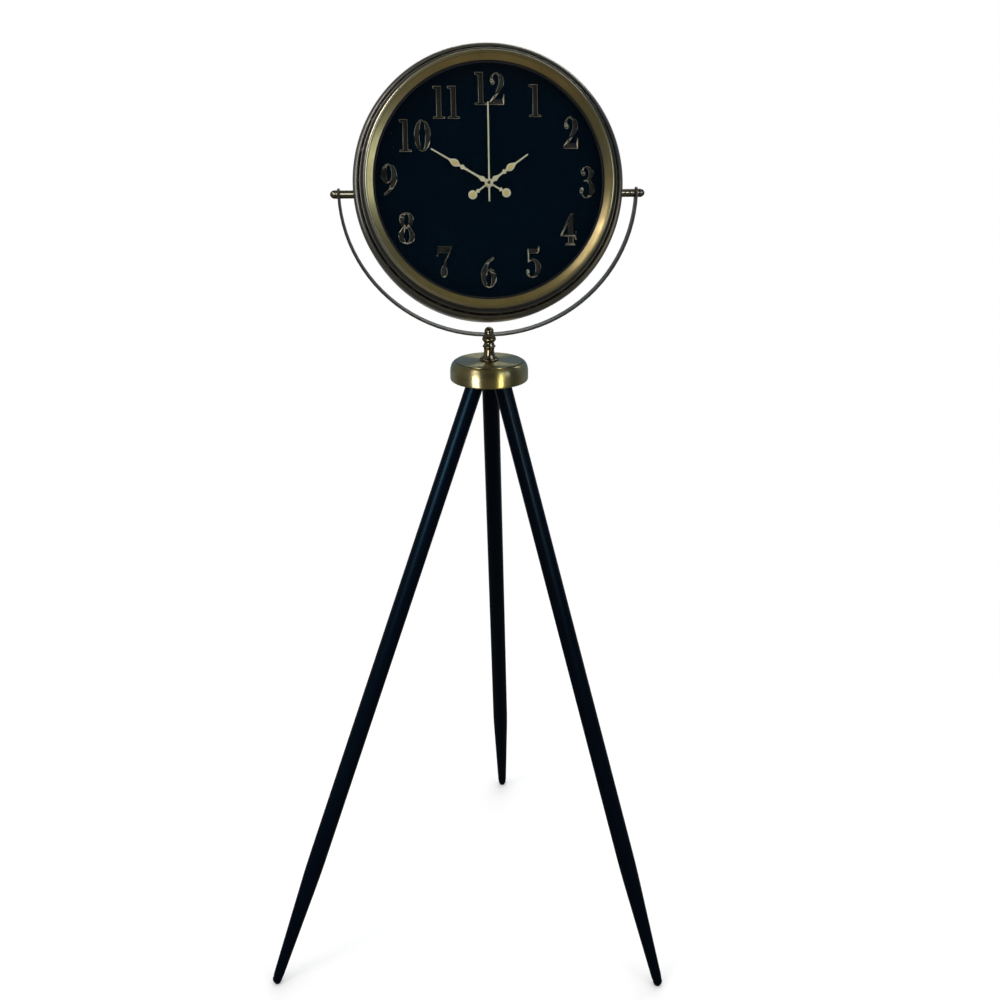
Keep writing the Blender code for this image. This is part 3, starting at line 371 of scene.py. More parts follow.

# %% [markdown]
# Six such metals cover the hub, the stem, the pins, the bezel, the drum and the strap. They differ
# in colour, in how close and how deep their lines are, and in how much film is left in the grooves.
# The stem and the pins are polished, and their rims are tinted dark: a painted reflection of a
# dark room at their sides. The hub's rims are tinted blue, a painted reflection of a blue-grey room.

# %% Six metals
# Painted reflections: a dark rim tint on the stem and the pins, and a blue one on the hub.
dark_reflection_tint = (0.42, 0.42, 0.40, 1)
hub_brass = antique_metal("brushed_antique_brass", (0.56, 0.485, 0.26), (0.31, 0.26, 0.12),
                          (0.28, 0.38), 0.000010, lines=3200, around=2.0, anisotropic=0.9,
                          patina=0.9, rim=(0.68, 0.82, 1.0, 1))
stem_brass = antique_metal("polished_antique_brass", (0.44, 0.38, 0.26), (0.13, 0.11, 0.075),
                           (0.12, 0.26), 0.000006, lines=1800, streak=0.30, patina=0.9,
                           rim=dark_reflection_tint)
pin_bronze = antique_metal("polished_bronze", (0.40, 0.38, 0.32), (0.10, 0.095, 0.08),
                           (0.14, 0.22), 0.000001, lines=1800, streak=0.30, patina=0.3,
                           rim=dark_reflection_tint)
# The bezel's crest gets a painted highlight, strong on its left side.
bezel_gold = antique_metal("antique_gold", (0.60, 0.51, 0.26), (0.36, 0.295, 0.13),
                           (0.28, 0.38), 0.000005, lines=2400, around=2.5, streak=0.30,
                           anisotropic=0.35, crest_highlight_and_outer_side=(0.0127, 0.0028, 0.0138))
case_bronze = antique_metal("antique_bronze", (0.34, 0.335, 0.31), (0.13, 0.125, 0.11),
                            (0.28, 0.42), 0.000010, lines=1500, around=2.5, streak=0.35,
                            patina=0.95)
strap_bronze = antique_metal("strap_bronze", (0.34, 0.335, 0.30), (0.17, 0.165, 0.14),
                             (0.36, 0.48), 0.000002, turned=False)
print("antique metals:", hub_brass.name, stem_brass.name, bezel_gold.name, case_bronze.name)

# %% [markdown]
# The legs are turned wood under several coats of black lacquer. The grain still shows as long,
# shallow waves in the gloss, and the colour is a very dark blue. The grain follows each leg, which
# leans, so the noise is stretched along the leg's own outline and not along the world's Z axis.

# %% Lacquer
def make_lacquer():
    """Black lacquer over turned wood."""
    # The blue specular tint is a painted reflection: it colours the lacquer's highlights blue.
    material, tree, shader = new_finish("black_lacquer", specular_ior_level=0.12, coat_weight=0.01,
                                        specular_tint=(0.50, 0.78, 1.0, 1), coat_roughness=0.14)
    grain = noise(tree, turned_vector(tree, 14.0, 9.0), 1.0, 4.0, 0.6)
    cloud = noise(tree, object_vector(tree), 9.0, 2.0)
    colour = mix(tree, spread(tree, grain, 0.35, 0.65), (0.0001, 0.0008, 0.0026),
                 (0.0002, 0.0016, 0.0046))
    wire(tree, shader, colour, spread(tree, cloud, 0.3, 0.7, 0.30, 0.40))
    bump(tree, shader, grain, 0.00004, 0.6)
    return material


lacquer = make_lacquer()
print("legs get", lacquer.name)

# %% [markdown]
# The glides, the gasket, the movement and all that holds the clock together are plainer. Rubber,
# plastic, painted board, cast iron and zinc differ in colour, gloss and grain. They share one
# recipe: two close colours in soft clouds, under a fine grain of a given size.

# %% Plain finishes
def grainy(name, colour, darker, roughness, grain, depth, **constants):
    """A plain material with a fine moulded or cast grain. Grain is its size in metres."""
    material, tree, shader = new_finish(name, **constants)
    vector = object_vector(tree)
    fine = noise(tree, vector, 1 / grain, 2.0, 0.6)
    cloud = noise(tree, vector, 0.02 / grain, 3.0)
    wire(tree, shader, mix(tree, spread(tree, cloud, 0.35, 0.65), colour, darker),
         spread(tree, fine, 0.3, 0.7, *roughness))
    bump(tree, shader, fine, depth)
    return material


rubber = grainy("soft_black_rubber", (0.014, 0.014, 0.015), (0.022, 0.022, 0.023), (0.62, 0.78),
                0.0006, 0.00004)
gasket_rubber = grainy("gasket_rubber", (0.003, 0.004, 0.005), (0.006, 0.007, 0.009), (0.45, 0.60),
                       0.0004, 0.00001)
plastic = grainy("black_plastic", (0.018, 0.018, 0.020), (0.026, 0.026, 0.028), (0.42, 0.55),
                 0.0004, 0.00002)
board = grainy("painted_board", (0.040, 0.040, 0.044), (0.060, 0.060, 0.064), (0.55, 0.70),
               0.0009, 0.00005)
casting = grainy("cast_iron", (0.090, 0.090, 0.092), (0.14, 0.13, 0.12), (0.50, 0.68),
                 0.0012, 0.00012, metallic=0.8)
zinc = grainy("zinc_steel", (0.58, 0.58, 0.60), (0.42, 0.42, 0.43), (0.26, 0.42),
              0.0007, 0.00001, metallic=1.0)
print("plain finishes:", rubber.name, plastic.name, board.name, casting.name, zinc.name)

# %% [markdown]
# A leg is a long taper with a soft belly, a fifth of its length above the floor, and a round tip.
# Its outline is spun once for each leg, and the tip is then cut level with the floor by a bisecting
# plane, because the leg leans and its glide lies flat. The three legs lean a little unevenly, as
# they do on the real stand, where each has play on its bolt.

# %% Legs
hub_low, hub_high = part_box("hub_cover")
leg_top = hub_low.z + 0.0150
crossing_radius, crossing_height = 0.0253, hub_low.z - 0.0063
mean_lean = 19.2
leg_leans = {"left": (-150, mean_lean + 1.8), "right": (-30, mean_lean - 1.6),
             "rear": (90, mean_lean - 0.3)}
top_radius, belly_radius, ankle_radius, tip_round = 0.01375, 0.01480, 0.0088, 0.0082
belly_height, ankle_height, glide_top, glide_radius = 0.235, 0.016, 0.0025, 0.0052
bolt_bore, bolt_depth = 0.0043, 0.042


def leg_outline(length):
    """Half of a leg, from the bore in its top down to the tip."""
    bore = [(0, -bolt_depth), (bolt_bore, -bolt_depth), (bolt_bore, 0)]
    sides = [(top_radius, 0, 0.0008), (belly_radius, belly_height - length, 0.030),
             (ankle_radius, ankle_height - length, 0.004)]
    tip = arc((0, tip_round - length), tip_round, tip_round, 20, -90, 8)
    return eased([*bore, *sides, *tip[:-1], (0, -length)], 8)


for side, (direction, lean) in leg_leans.items():
    direction, lean = radians(direction), radians(lean)
    reach = crossing_radius - (leg_top - crossing_height) * tan(lean)
    top_middle = Matrix.Translation((reach * cos(direction), reach * sin(direction), leg_top))
    top_place = (stand_place @ top_middle @ Matrix.Rotation(direction, 4, "Z")
                 @ Matrix.Rotation(-lean, 4, "Y"))
    length = (leg_top - tip_round) / cos(lean) + tip_round
    shape = lathe(leg_outline(length), 40, closed=False)
    cut_point = top_place.inverted() @ Vector((0, 0, glide_top))
    cut_normal = top_place.to_3x3().inverted() @ Vector((0, 0, -1))
    cut = bmesh.ops.bisect_plane(shape, geom=[*shape.verts, *shape.edges, *shape.faces],
                                 plane_co=cut_point, plane_no=cut_normal, clear_outer=True)
    rim = [item for item in cut["geom_cut"] if isinstance(item, bmesh.types.BMEdge)]
    bmesh.ops.contextual_create(shape, geom=rim)
    leg = add_piece(f"lacquered_leg_{side}", shape, top_place, "stand", lacquer)
    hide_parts(f"leg_{side}")

    low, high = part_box(f"glide_{side}")
    middle = (low + high) / 2
    glide_outline = eased([(0, high.z), (glide_radius, high.z, 0.0008),
                           (glide_radius, 0, 0.0003), (0, 0)])
    glide = add_piece(f"soft_glide_{side}", lathe(glide_outline, 32, closed=False),
                      Matrix.Translation((middle.x, middle.y, 0)), "stand", rubber)
    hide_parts(f"glide_{side}")
    print("leg", side, "length", round(length, 4), "lean", round(lean, 4))

# %% [markdown]
# The hub cover is spun sheet metal: a flat top, a fine step down, a wide round shoulder and a lip
# that turns in. The step has a small crease at its foot, where the film stays dark, and that draws
# the line round the top. The outline is closed, so that the sheet has a real thickness.

# %% Hub
def turned_piece(name, outline, place, body, finish, node, steps=96, closed=True):
    """Spin an outline and put it in place of a CAD node."""
    piece = add_piece(name, lathe(outline, steps, closed), place, body, finish)
    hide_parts(node)
    return piece


rod_bore, hub_wall = 0.0033, 0.0012
plate_radius, step, step_width, drop, lip = 0.0528, 0.0006, 0.0007, 0.0170, 0.0040
crease_depth, crease_width, shoulder_sink, shoulder_start = 0.0016, 0.0005, 0.0007, 84
hub_radius, hub_bottom = 0.0617, hub_low.z - hub_high.z
shoulder = (plate_radius + step_width, -step - drop)
shoulder_width = hub_radius - plate_radius - step_width
lip_middle = (hub_radius - lip, hub_bottom + lip)
hub_outline = eased([(rod_bore, 0), (plate_radius, 0, 0.0003),
                     (plate_radius, -crease_depth, 0.0002),
                     (plate_radius + crease_width, -crease_depth, 0.0001)])
hub_outline += arc(shoulder, shoulder_width, drop - shoulder_sink, shoulder_start, 0, 16)
hub_outline += arc(lip_middle, lip, lip, 0, -90, 8)
hub_outline += arc(lip_middle, lip - hub_wall, lip - hub_wall, -90, 0, 6)
hub_outline += arc(shoulder, shoulder_width - hub_wall, drop - hub_wall, 0, 90, 8)
hub_outline.append((rod_bore, -step - hub_wall))
hub_place = stand_place @ Matrix.Translation((0, 0, hub_high.z))
hub = turned_piece("spun_hub_cover", hub_outline, hub_place, "stand", hub_brass, "hub_cover",
                   128)
print("hub", round(hub_radius * 2, 4), "m across")

# %% [markdown]
# The stem stands on the hub and carries the yoke. It is a turned baluster: a flange at the foot, a
# flare, a bead and a cup. Its outline starts and ends at the bore, which the threaded rod fills.

# %% Stem
stem_low, stem_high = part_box("stem")
tall = stem_high.z - stem_low.z
stem_outline = eased([(rod_bore, tall), (0.0093, tall, 0.0006), (0.0114, 0.0335, 0.0018),
                      (0.0093, 0.0300, 0.0006), (0.0073, 0.0282, 0.0012), (0.0084, 0.0255, 0.0008),
                      (0.0090, 0.0234)], 6)
stem_outline += arc((0.0090, 0.0222), 0.0013, 0.0012, 90, -90, 10)
stem_outline += eased([(0.0090, 0.0210), (0.0078, 0.0170, 0.0040), (0.0089, 0.0085, 0.0040),
                       (0.0110, 0.0034)], 8)[1:]
stem_outline += arc((0.0134, 0.0017), 0.0018, 0.0017, 90, -90, 10)
stem_outline.append((rod_bore, 0))
stem_place = stand_place @ Matrix.Translation((0, 0, stem_low.z))
stem = turned_piece("turned_stem", stem_outline, stem_place, "stand", stem_brass, "stem",
                    64)
print("stem", round(tall, 4), "m high")

# %% [markdown]
# Some CAD nodes already have the right shape, and lack only eased edges. A copy of such a node is
# merged where its triangles meet, its flat faces are joined again, and the bevel operator rounds
# its sharp edges. That is quicker than modelling it anew and stays exactly in its place.

# %% Refine CAD nodes
cad_same_point = 1e-5


def refined(node, ease, body, finish, segments=2):
    """A copy of a CAD node with merged seams and eased edges."""
    shape = bmesh.new()
    shape.from_mesh(nodes[node].data)
    bmesh.ops.remove_doubles(shape, verts=shape.verts, dist=cad_same_point)
    bmesh.ops.dissolve_limit(shape, angle_limit=radians(1), verts=shape.verts, edges=shape.edges)
    sharp = [edge for edge in shape.edges
             if edge.is_manifold and edge.calc_face_angle() > radians(30)]
    bmesh.ops.bevel(shape, geom=sharp, offset=ease, affect="EDGES", segments=segments,
                    profile=0.5, clamp_overlap=True, material=-1)
    piece = add_piece(f"fine_{node}", shape, Matrix(), body, finish)
    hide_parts(node)
    return piece


refined("leg_block", 0.0006, "stand", casting)
refined("rod_nut", 0.0003, "stand", zinc)
for node in ("tie_rod", "leg_bolt_left", "leg_bolt_right", "leg_bolt_rear"):
    refined(node, 0.0004, "stand", zinc)
strap = refined("yoke_strap", 0.0005, "yoke", strap_bronze, 3)
print("strap", len(strap.data.polygons), "faces")

# %% [markdown]
# On the stem the strap lies between a thin washer and a domed nut, which clamps it. From here on
# many pieces are plain rings with eased edges, so a ring gets a helper. The domed nut has one too,
# because the nuts on the pins have the same shape.

# %% Washer and finial
def ring(inner, outer, low, high, ease):
    """A ring of rectangular section with eased edges."""
    return eased([(inner, high, ease), (outer, high, ease), (outer, low, ease), (inner, low, ease)])


washer_low, washer_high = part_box("swivel_washer")
washer_radius, washer_height = 0.0095, washer_high.z - washer_low.z
turned_piece("swivel_washer_disc", ring(rod_bore, washer_radius, 0, washer_height, 0.0002),
             stand_place @ Matrix.Translation((0, 0, washer_low.z)), "yoke", stem_brass,
             "swivel_washer", 48)


def acorn_outline(radius, height, collar, bore, depth):
    """A domed nut that stands on its collar, with a blind bore below."""
    shoulder_ease = 0.0004
    dome = arc((0, collar + shoulder_ease), radius, height - collar - shoulder_ease, 90, 0, 14)
    return [*dome, *eased([(radius * 0.88, collar, 0.0003), (radius, collar * 0.75, 0.0004),
                           (radius, 0, 0.0004), (bore, 0)], 4), (bore, depth), (0, depth)]


finial_place = stand_place @ Matrix.Translation((0, 0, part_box("finial_nut")[0].z))
finial = turned_piece("domed_finial", acorn_outline(0.0073, 0.0102, 0.0030, rod_bore, 0.0053),
                      finial_place, "yoke", stem_brass, "finial_nut",
                      48, closed=False)
print("washer is", washer_radius * 2, "m across")

# %% [markdown]
# Each pin carries a beaded sleeve inside the strap and an acorn nut outside it, turned along the
# pin's own axis. The beads are almost flat: they show as thin dark grooves across one long
# highlight, and not as three balls. The stud and the nut behind them are refined CAD nodes.

# %% Pins
strap_inner, strap_outer, drum_radius = 0.2194, 0.2230, 0.2000
stud_bore, groove_radius, bead_radius, bead_bulge = 0.0043, 0.0054, 0.0057, 0.00015
bead_count, sleeve_inside_drum = 3, 0.0012
bead = (strap_inner - drum_radius + sleeve_inside_drum) / bead_count
sleeve_end = strap_inner - bead * bead_count
sleeve_outline = [(stud_bore, strap_inner), (groove_radius, strap_inner)]
for index in range(bead_count):
    bead_middle = strap_inner - bead * (index + 0.5)
    sleeve_outline += arc((bead_radius, bead_middle), bead_bulge, bead * 0.47, 90, -90, 10)
sleeve_outline += [(groove_radius, sleeve_end), (stud_bore, sleeve_end)]
acorn = [(radius, height + strap_outer)
         for radius, height in acorn_outline(0.0062, 0.0110, 0.0030, stud_bore, 0.0063)]
for side, sign in (("left", -1), ("right", 1)):
    down = Vector((0, 0, -sign))
    pin_place = place_of(pins, down, sign * across.cross(down))
    turned_piece(f"beaded_sleeve_{side}", sleeve_outline, pin_place, "head", pin_bronze,
                 f"pivot_sleeve_{side}", 40)
    turned_piece(f"acorn_{side}", acorn, pin_place, "head", pin_bronze, f"pivot_acorn_{side}",
                 48, closed=False)
    refined(f"pivot_nut_{side}", 0.0004, "head", zinc)
    refined(f"pivot_stud_{side}", 0.0004, "head", zinc)
pin_pieces = [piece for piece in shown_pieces() if piece.name.startswith(("beaded_sleeve", "acorn"))]
print(len(pin_pieces), "turned fittings on the pins")

# %% [markdown]
# The head is a stack of rings on one axis. The largest is the drum, whose outer wall carries a
# rolled moulding, a groove and a step. Its outline is closed too, so the wall has its thickness.
# All heights are measured along the dial's normal from the pins.

# %% Drum
drum_wall, drum_back, groove, shelf_front = 0.0020, -0.0390, 0.1903, 0.0172
step_radius, step_front, step_round, mouth, mouth_back = 0.1888, 0.0265, 0.0018, 0.1838, 0.0120
moulding, moulding_width, moulding_height = (drum_radius - 0.0080, 0.0045), 0.0080, 0.0151
case_outline = [(mouth, step_front)]
case_outline += arc((step_radius - step_round, step_front - step_round), step_round, step_round,
                    90, 0, 8)
case_outline += eased([(step_radius, 0.0190), (groove, shelf_front, 0.0010)], 4)
case_outline += arc(moulding, moulding_width, moulding_height, 90, 0, 28)
case_outline += eased([(drum_radius, 0.0), (drum_radius, drum_back, 0.0010),
                       (drum_radius - drum_wall, drum_back, 0.0005)], 6)
case_outline += arc(moulding, moulding_width - drum_wall, moulding_height - drum_wall, 0, 60, 10)
case_outline += [(groove, shelf_front - drum_wall), (mouth + 0.0022, shelf_front - drum_wall),
                 (mouth + 0.0022, mouth_back), (mouth, mouth_back)]
case = turned_piece("drum_case", case_outline, head_place, "head", case_bronze, "case_shell",
                    192)
print("drum", drum_radius * 2, "m across,", len(case.data.polygons), "faces")

# %% [markdown]
# The gold bezel stands in the drum's mouth: a rounded crest, a slope towards the glass and a thin
# lip. A flat seat inside the drum carries the dial, and a board with a round window closes the
# back. Each ring keeps a little play to the next, as parts that are put together by hand do.

# %% Bezel, seat and back board
play, dial_front, dial_thick = 0.0003, 0.0140, 0.0020
bezel_outer, bezel_inner, bezel_back = mouth - play, 0.1768, dial_front + play
lip_radius, lip_back = 0.1684, 0.0312
crest_middle, crest_round = (0.1798, 0.0370), 0.0030
bezel_outline = eased([(0.1692, 0.0338), (0.17707, 0.0382)], 4)
bezel_outline += arc(crest_middle, crest_round, crest_round, 150, 0, 16)
bezel_outline += [(bezel_outer, 0.0262), (bezel_outer, bezel_back), (bezel_inner, bezel_back),
                  (bezel_inner, lip_back), (lip_radius, lip_back), (lip_radius, 0.0331),
                  (0.16865, 0.0336)]
turned_piece("gold_bezel", bezel_outline, head_place, "head", bezel_gold, "bezel_ring",
             192)
seat_hole, seat_radius, seat_back, seat_front = 0.1710, 0.1935, 0.0097, 0.0117
turned_piece("seat_ring", ring(seat_hole, seat_radius, seat_back, seat_front, 0.0003), head_place,
             "head", case_bronze, "dial_seat", 128)
window_radius, board_radius, board_back = 0.0640, 0.1990, -0.0423
turned_piece("back_board", ring(window_radius, board_radius, board_back, drum_back - play, 0.0010),
             head_place, "head", board, "back_cover", 192)
print("bezel", round(bezel_outer * 2, 4), "m across, with", play, "m of play")

# %% [markdown]
# Behind the bezel's lip lie the glass in its gasket, a spacer and the dial. Thin glass hardly bends
# light, but it must let the lamps through to the dial, so its shader turns clear for shadow rays.

# %% Glass and gasket
def make_glass():
    """Clear glass that lets lamps reach what lies behind it."""
    material, tree, shader = new_finish("clear_glass", transmission_weight=1.0, ior=1.45)
    smear = noise(tree, object_vector(tree), 14.0, 3.0)
    wire(tree, shader, mix(tree, smear, (0.99, 1.0, 1.0), (0.96, 0.985, 0.99)),
         spread(tree, smear, 0.4, 0.7, 0.0, 0.03))
    clear = add_node(tree, "ShaderNodeBsdfTransparent", {"Color": (0.97, 0.985, 0.985, 1)})
    lamp_ray = add_node(tree, "ShaderNodeLightPath").outputs["Is Shadow Ray"]
    both = add_node(tree, "ShaderNodeMixShader", {0: lamp_ray, 1: shader.outputs[0],
                                                  2: clear.outputs[0]})
    tree.links.new(both.outputs[0], tree.nodes["Material Output"].inputs["Surface"])
    return material


glass_front, glass_back, stack_radius = 0.0298, 0.0268, 0.1765
gasket_radius, gasket_back, gasket_front = 0.1657, 0.0301, 0.0323
gasket_outline = eased([(gasket_radius, gasket_front, 0.0004), (0.1679, gasket_front, 0.0003),
                        (0.1679, 0.0309), (stack_radius, 0.0309), (stack_radius, gasket_back),
                        (gasket_radius, gasket_back, 0.0003)])
turned_piece("bezel_gasket", gasket_outline, head_place, "head", gasket_rubber, "glass_gasket",
             192)
glass_outline = eased([(0, glass_front), (stack_radius, glass_front, 0.0003),
                       (stack_radius, glass_back, 0.0003), (0, glass_back)])
turned_piece("glass_disc", glass_outline, head_place, "head", make_glass(), "glass",
             128, closed=False)
print("glass is", round(glass_front - glass_back, 4), "m thick")

# %% [markdown]
# The dial is printed a deep blue-black under gloss, with a faint grain that breaks up reflections.
# A spacer ring keeps it away from the glass, so that the hands have room to turn.

# %% Dial
def make_dial():
    """Gloss blue-black enamel."""
    material, tree, shader = new_finish("blue_black_dial", specular_ior_level=0.20)
    vector = object_vector(tree, place=head_place)
    cloud = noise(tree, vector, 6.0, 2.0)
    speck = noise(tree, vector, 900.0, 1.0)
    wire(tree, shader, mix(tree, cloud, (0.0001, 0.0024, 0.0058), (0.0001, 0.0036, 0.0086)),
         spread(tree, speck, 0.3, 0.7, 0.10, 0.16))
    bump(tree, shader, speck, 0.000003)
    return material


turned_piece("spacer", ring(0.1685, stack_radius, dial_front + play, glass_back - play, 0.0003),
             head_place, "head", plastic, "spacer_ring", 128)
dial_hole, dial_back = 0.0048, dial_front - dial_thick
turned_piece("dial_disc", ring(dial_hole, bezel_outer, dial_back, dial_front, 0.0002), head_place,
             "head", make_dial(), "dial_plate", 128)
print("glass and dial stand", round(glass_back - dial_front, 4), "m apart")

# %% [markdown]
# The numerals are cast with a wide chamfer. Their faces are dark bronze and the chamfers are worn
# to a lighter metal, which is what makes them readable on a black dial. The CAD nodes hold their
# shapes. The bevel operator tangles in such narrow corners, so the front face is inset instead,
# and its old rim is pushed back towards the dial. A face whose normal is close to the dial's keeps
# the dark finish, and all others get the lighter one.

# %% Numerals
numeral_face = antique_metal("numeral_face", (0.024, 0.021, 0.012), (0.011, 0.010, 0.007),
                             (0.40, 0.55), 0.000006, turned=False, metallic=0.35)
numeral_rim = antique_metal("numeral_rim", (0.92, 0.83, 0.62), (0.58, 0.52, 0.38),
                            (0.34, 0.48), 0.000004, turned=False)
numerals = sorted(node for node in nodes if node.startswith("numeral_"))
chamfer, chamfer_drop, facing, flat = 0.00040, 0.0006, 0.95, 0.97
for node in numerals:
    shape = bmesh.new()
    shape.from_mesh(nodes[node].data)
    bmesh.ops.remove_doubles(shape, verts=shape.verts, dist=cad_same_point)
    front = [face for face in shape.faces if face.normal.dot(dial_normal) > facing]
    rim = {vert for face in front for vert in face.verts}
    bmesh.ops.inset_region(shape, faces=front, thickness=chamfer, use_even_offset=True)
    bmesh.ops.translate(shape, verts=list(rim), vec=-chamfer_drop * dial_normal)
    digit = add_piece(f"cast_{node}", shape, Matrix(), "head", numeral_face, radians(25))
    digit.data.materials.append(numeral_rim)
    for face in digit.data.polygons:
        face.material_index = 0 if face.normal.dot(dial_normal) > flat else 1
    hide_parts(node)
print(len(numerals), "digits")

# %% [markdown]
# The hands are stamped brass with a long point, a leaf, small collars and a disc on the tail. Half
# of a hand is typed as an outline, from the tip down. The leaf is a smooth row of points, the
# collars are corners with a little ease, and the boss and the disc are arcs.

# %% Half a hand
disc_middle, disc_radius = -0.0292, 0.00645


def through(points, steps=5):
    """A smooth row of points that passes through the given ones."""
    points = [Vector(point) for point in points]
    ends = [points[0] * 2 - points[1], *points, points[-1] * 2 - points[-2]]
    row = []
    for a, b, c, d in zip(ends, ends[1:], ends[2:], ends[3:]):
        for step in range(steps):
            t = step / steps
            point = b + ((c - a) * t + (a * 2 - b * 5 + c * 4 - d) * t * t
                         + (b * 3 - a - c * 3 + d) * t ** 3) / 2
            row.append((point.x, point.y))
    return [*row, tuple(points[-1])]


def half_hand(reach, leaf, collar):
    """The right half of a hand, (across, up), from the tip down to the tail disc."""
    notch = (leaf + collar - 0.0070) / 2
    outline = [(0.0006, reach), (0.0010, reach - 0.0012), (0.0012, leaf + 0.0190)]
    outline += through([(0.0012, leaf + 0.0105), (0.0022, leaf + 0.0076), (0.0043, leaf + 0.0036),
                        (0.0052, leaf), (0.0044, leaf - 0.0034), (0.0024, leaf - 0.0064),
                        (0.0012, notch)])
    outline += eased([(0.0014, notch - 0.0004), (0.0036, collar + 0.0004, 0.0004),
                      (0.0034, collar - 0.0008, 0.0006), (0.0020, collar - 0.0040, 0.0020)], 3)[1:]
    outline += eased([(0.0013, (collar + 0.0145) / 2), (0.0017, 0.0165, 0.0020),
                      (0.0040, 0.0112, 0.0006), (0.0037, 0.0096, 0.0006),
                      (0.0024, 0.0082, 0.0006), (0.0026, 0.0054)], 3)
    outline += arc((0, 0), 0.0058, 0.0058, 60, -76, 16)
    outline += eased([(0.0012, -0.0070), (0.0012, -0.0176, 0.0006), (0.0032, -0.0190, 0.0004),
                      (0.0030, -0.0202, 0.0006), (0.0013, -0.0218)], 3)
    outline += arc((0, disc_middle), disc_radius, disc_radius, 78, -90, 18)[:-1]
    return outline


print("the tail disc is", disc_radius * 2, "m across")

# %% [markdown]
# The outline is mirrored and closed to a face, the face is extruded to the thickness of the sheet,
# and its front edges are eased. The leaf and the disc carry a raised golden middle, a low dome that
# is stretched to an ellipse. Each hand lies in a plane of its own in front of the dial.

# %% Hands
hand_brass = antique_metal("pale_brass", (0.98, 0.93, 0.66), (0.90, 0.83, 0.56), (0.42, 0.55),
                           0.000004, turned=False, metallic=0.15)
hand_gold = antique_metal("golden_brass", (0.98, 0.82, 0.33), (0.90, 0.74, 0.28), (0.36, 0.48),
                          0.000004, turned=False, metallic=0.15)

hour_plane, hand_thick, hand_ease = 0.0173, 0.0008, 0.0002
minute_plane, second_plane = hour_plane + 0.0026, hour_plane + 0.0052
inlay_high, inlay_deep = 0.00035, 0.0002


def hand_shape(half, end):
    """Mirror half an outline, close it to a face, extrude it and ease its edges."""
    shape = bmesh.new()
    row = [shape.verts.new((x, y, 0)) for x, y in half]
    row.append(shape.verts.new((0, end, 0)))
    row += [shape.verts.new((-x, y, 0)) for x, y in reversed(half)]
    face = shape.faces.new(row)
    raised = bmesh.ops.extrude_face_region(shape, geom=[face], use_keep_orig=True)
    top = [item for item in raised["geom"] if isinstance(item, bmesh.types.BMVert)]
    bmesh.ops.translate(shape, verts=top, vec=(0, 0, hand_thick))
    bmesh.ops.recalc_face_normals(shape, faces=shape.faces)
    rim = [edge for edge in shape.edges if edge.is_manifold and edge.calc_face_angle() > radians(60)
           and all(vert.co.z > hand_thick / 2 for vert in edge.verts)]
    bmesh.ops.bevel(shape, geom=rim, offset=hand_ease, affect="EDGES", segments=2, profile=0.5,
                    clamp_overlap=True, material=-1)
    return shape


for name, angle, plane, reach, leaf, collar in (
        ("hour_hand", 55, hour_plane, 0.0705, 0.0388, 0.0285),
        ("minute_hand", 300, minute_plane, 0.0967, 0.0568, 0.0450)):
    hand_place = (head_place @ Matrix.Rotation(radians(-angle), 4, "Z")
                  @ Matrix.Translation((0, 0, plane)))
    shape = hand_shape(half_hand(reach, leaf, collar), disc_middle - disc_radius)
    hand = add_piece(f"stamped_{name}", shape, hand_place, name, hand_brass)
    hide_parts(name)
    for part, centre, wide, tall in (("leaf", leaf, 0.0030, 0.0050),
                                     ("disc", disc_middle, 0.0038, 0.0038)):
        inlay = lathe([(0, inlay_high), *arc((0, 0), 1.0, inlay_high, 70, 0, 5)[1:],
                       (1.0, -inlay_deep), (0, -inlay_deep)], 32, closed=False)
        bmesh.ops.scale(inlay, vec=(wide, tall, 1), verts=inlay.verts)
        inlay_place = hand_place @ Matrix.Translation((0, centre, hand_thick))
        raised = add_piece(f"{name}_{part}", inlay, inlay_place, name, hand_gold)
    print(name, "points to", angle, "degrees")

# %% [markdown]
# The second hand is a thin straight needle, and a small dark cap covers the end of its arbor. The
# arbors are plain tubes inside each other, so that each hand turns on its own, and a thin nut holds
# the movement's bush to the dial. These parts are nearly hidden and stay simple.

# %% Second hand and arbors
needle_radius, needle_tip, needle_tail, boss_radius = 0.0011, 0.1138, -0.0272, 0.0040
needle = eased([(0.0006, needle_tip, 0.0003), (needle_radius, needle_tip - 0.0048, 0.0030),
                (needle_radius, 0.0050, 0.0008)], 3)
needle += arc((0, 0), boss_radius, boss_radius, 72, -72, 14)
needle += eased([(needle_radius, -0.0050, 0.0008), (needle_radius, needle_tail, 0.0004)], 3)
second_place = head_place @ Matrix.Translation((0, 0, second_plane))
second = add_piece("stamped_second_hand", hand_shape(needle, needle_tail), second_place,
                   "second_hand", hand_brass)
cap_radius, cap_high, cap_deep = 0.0026, 0.0016, 0.0002
cap = lathe([(0, cap_high), *arc((0, cap_deep), cap_radius, cap_high - cap_deep, 70, 0, 6),
             (cap_radius, -cap_deep), (0, -cap_deep)], 32, closed=False)
cap = add_piece("second_hand_cap", cap, second_place @ Matrix.Translation((0, 0, hand_thick / 2)),
                "second_hand", stem_brass)
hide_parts("second_hand")

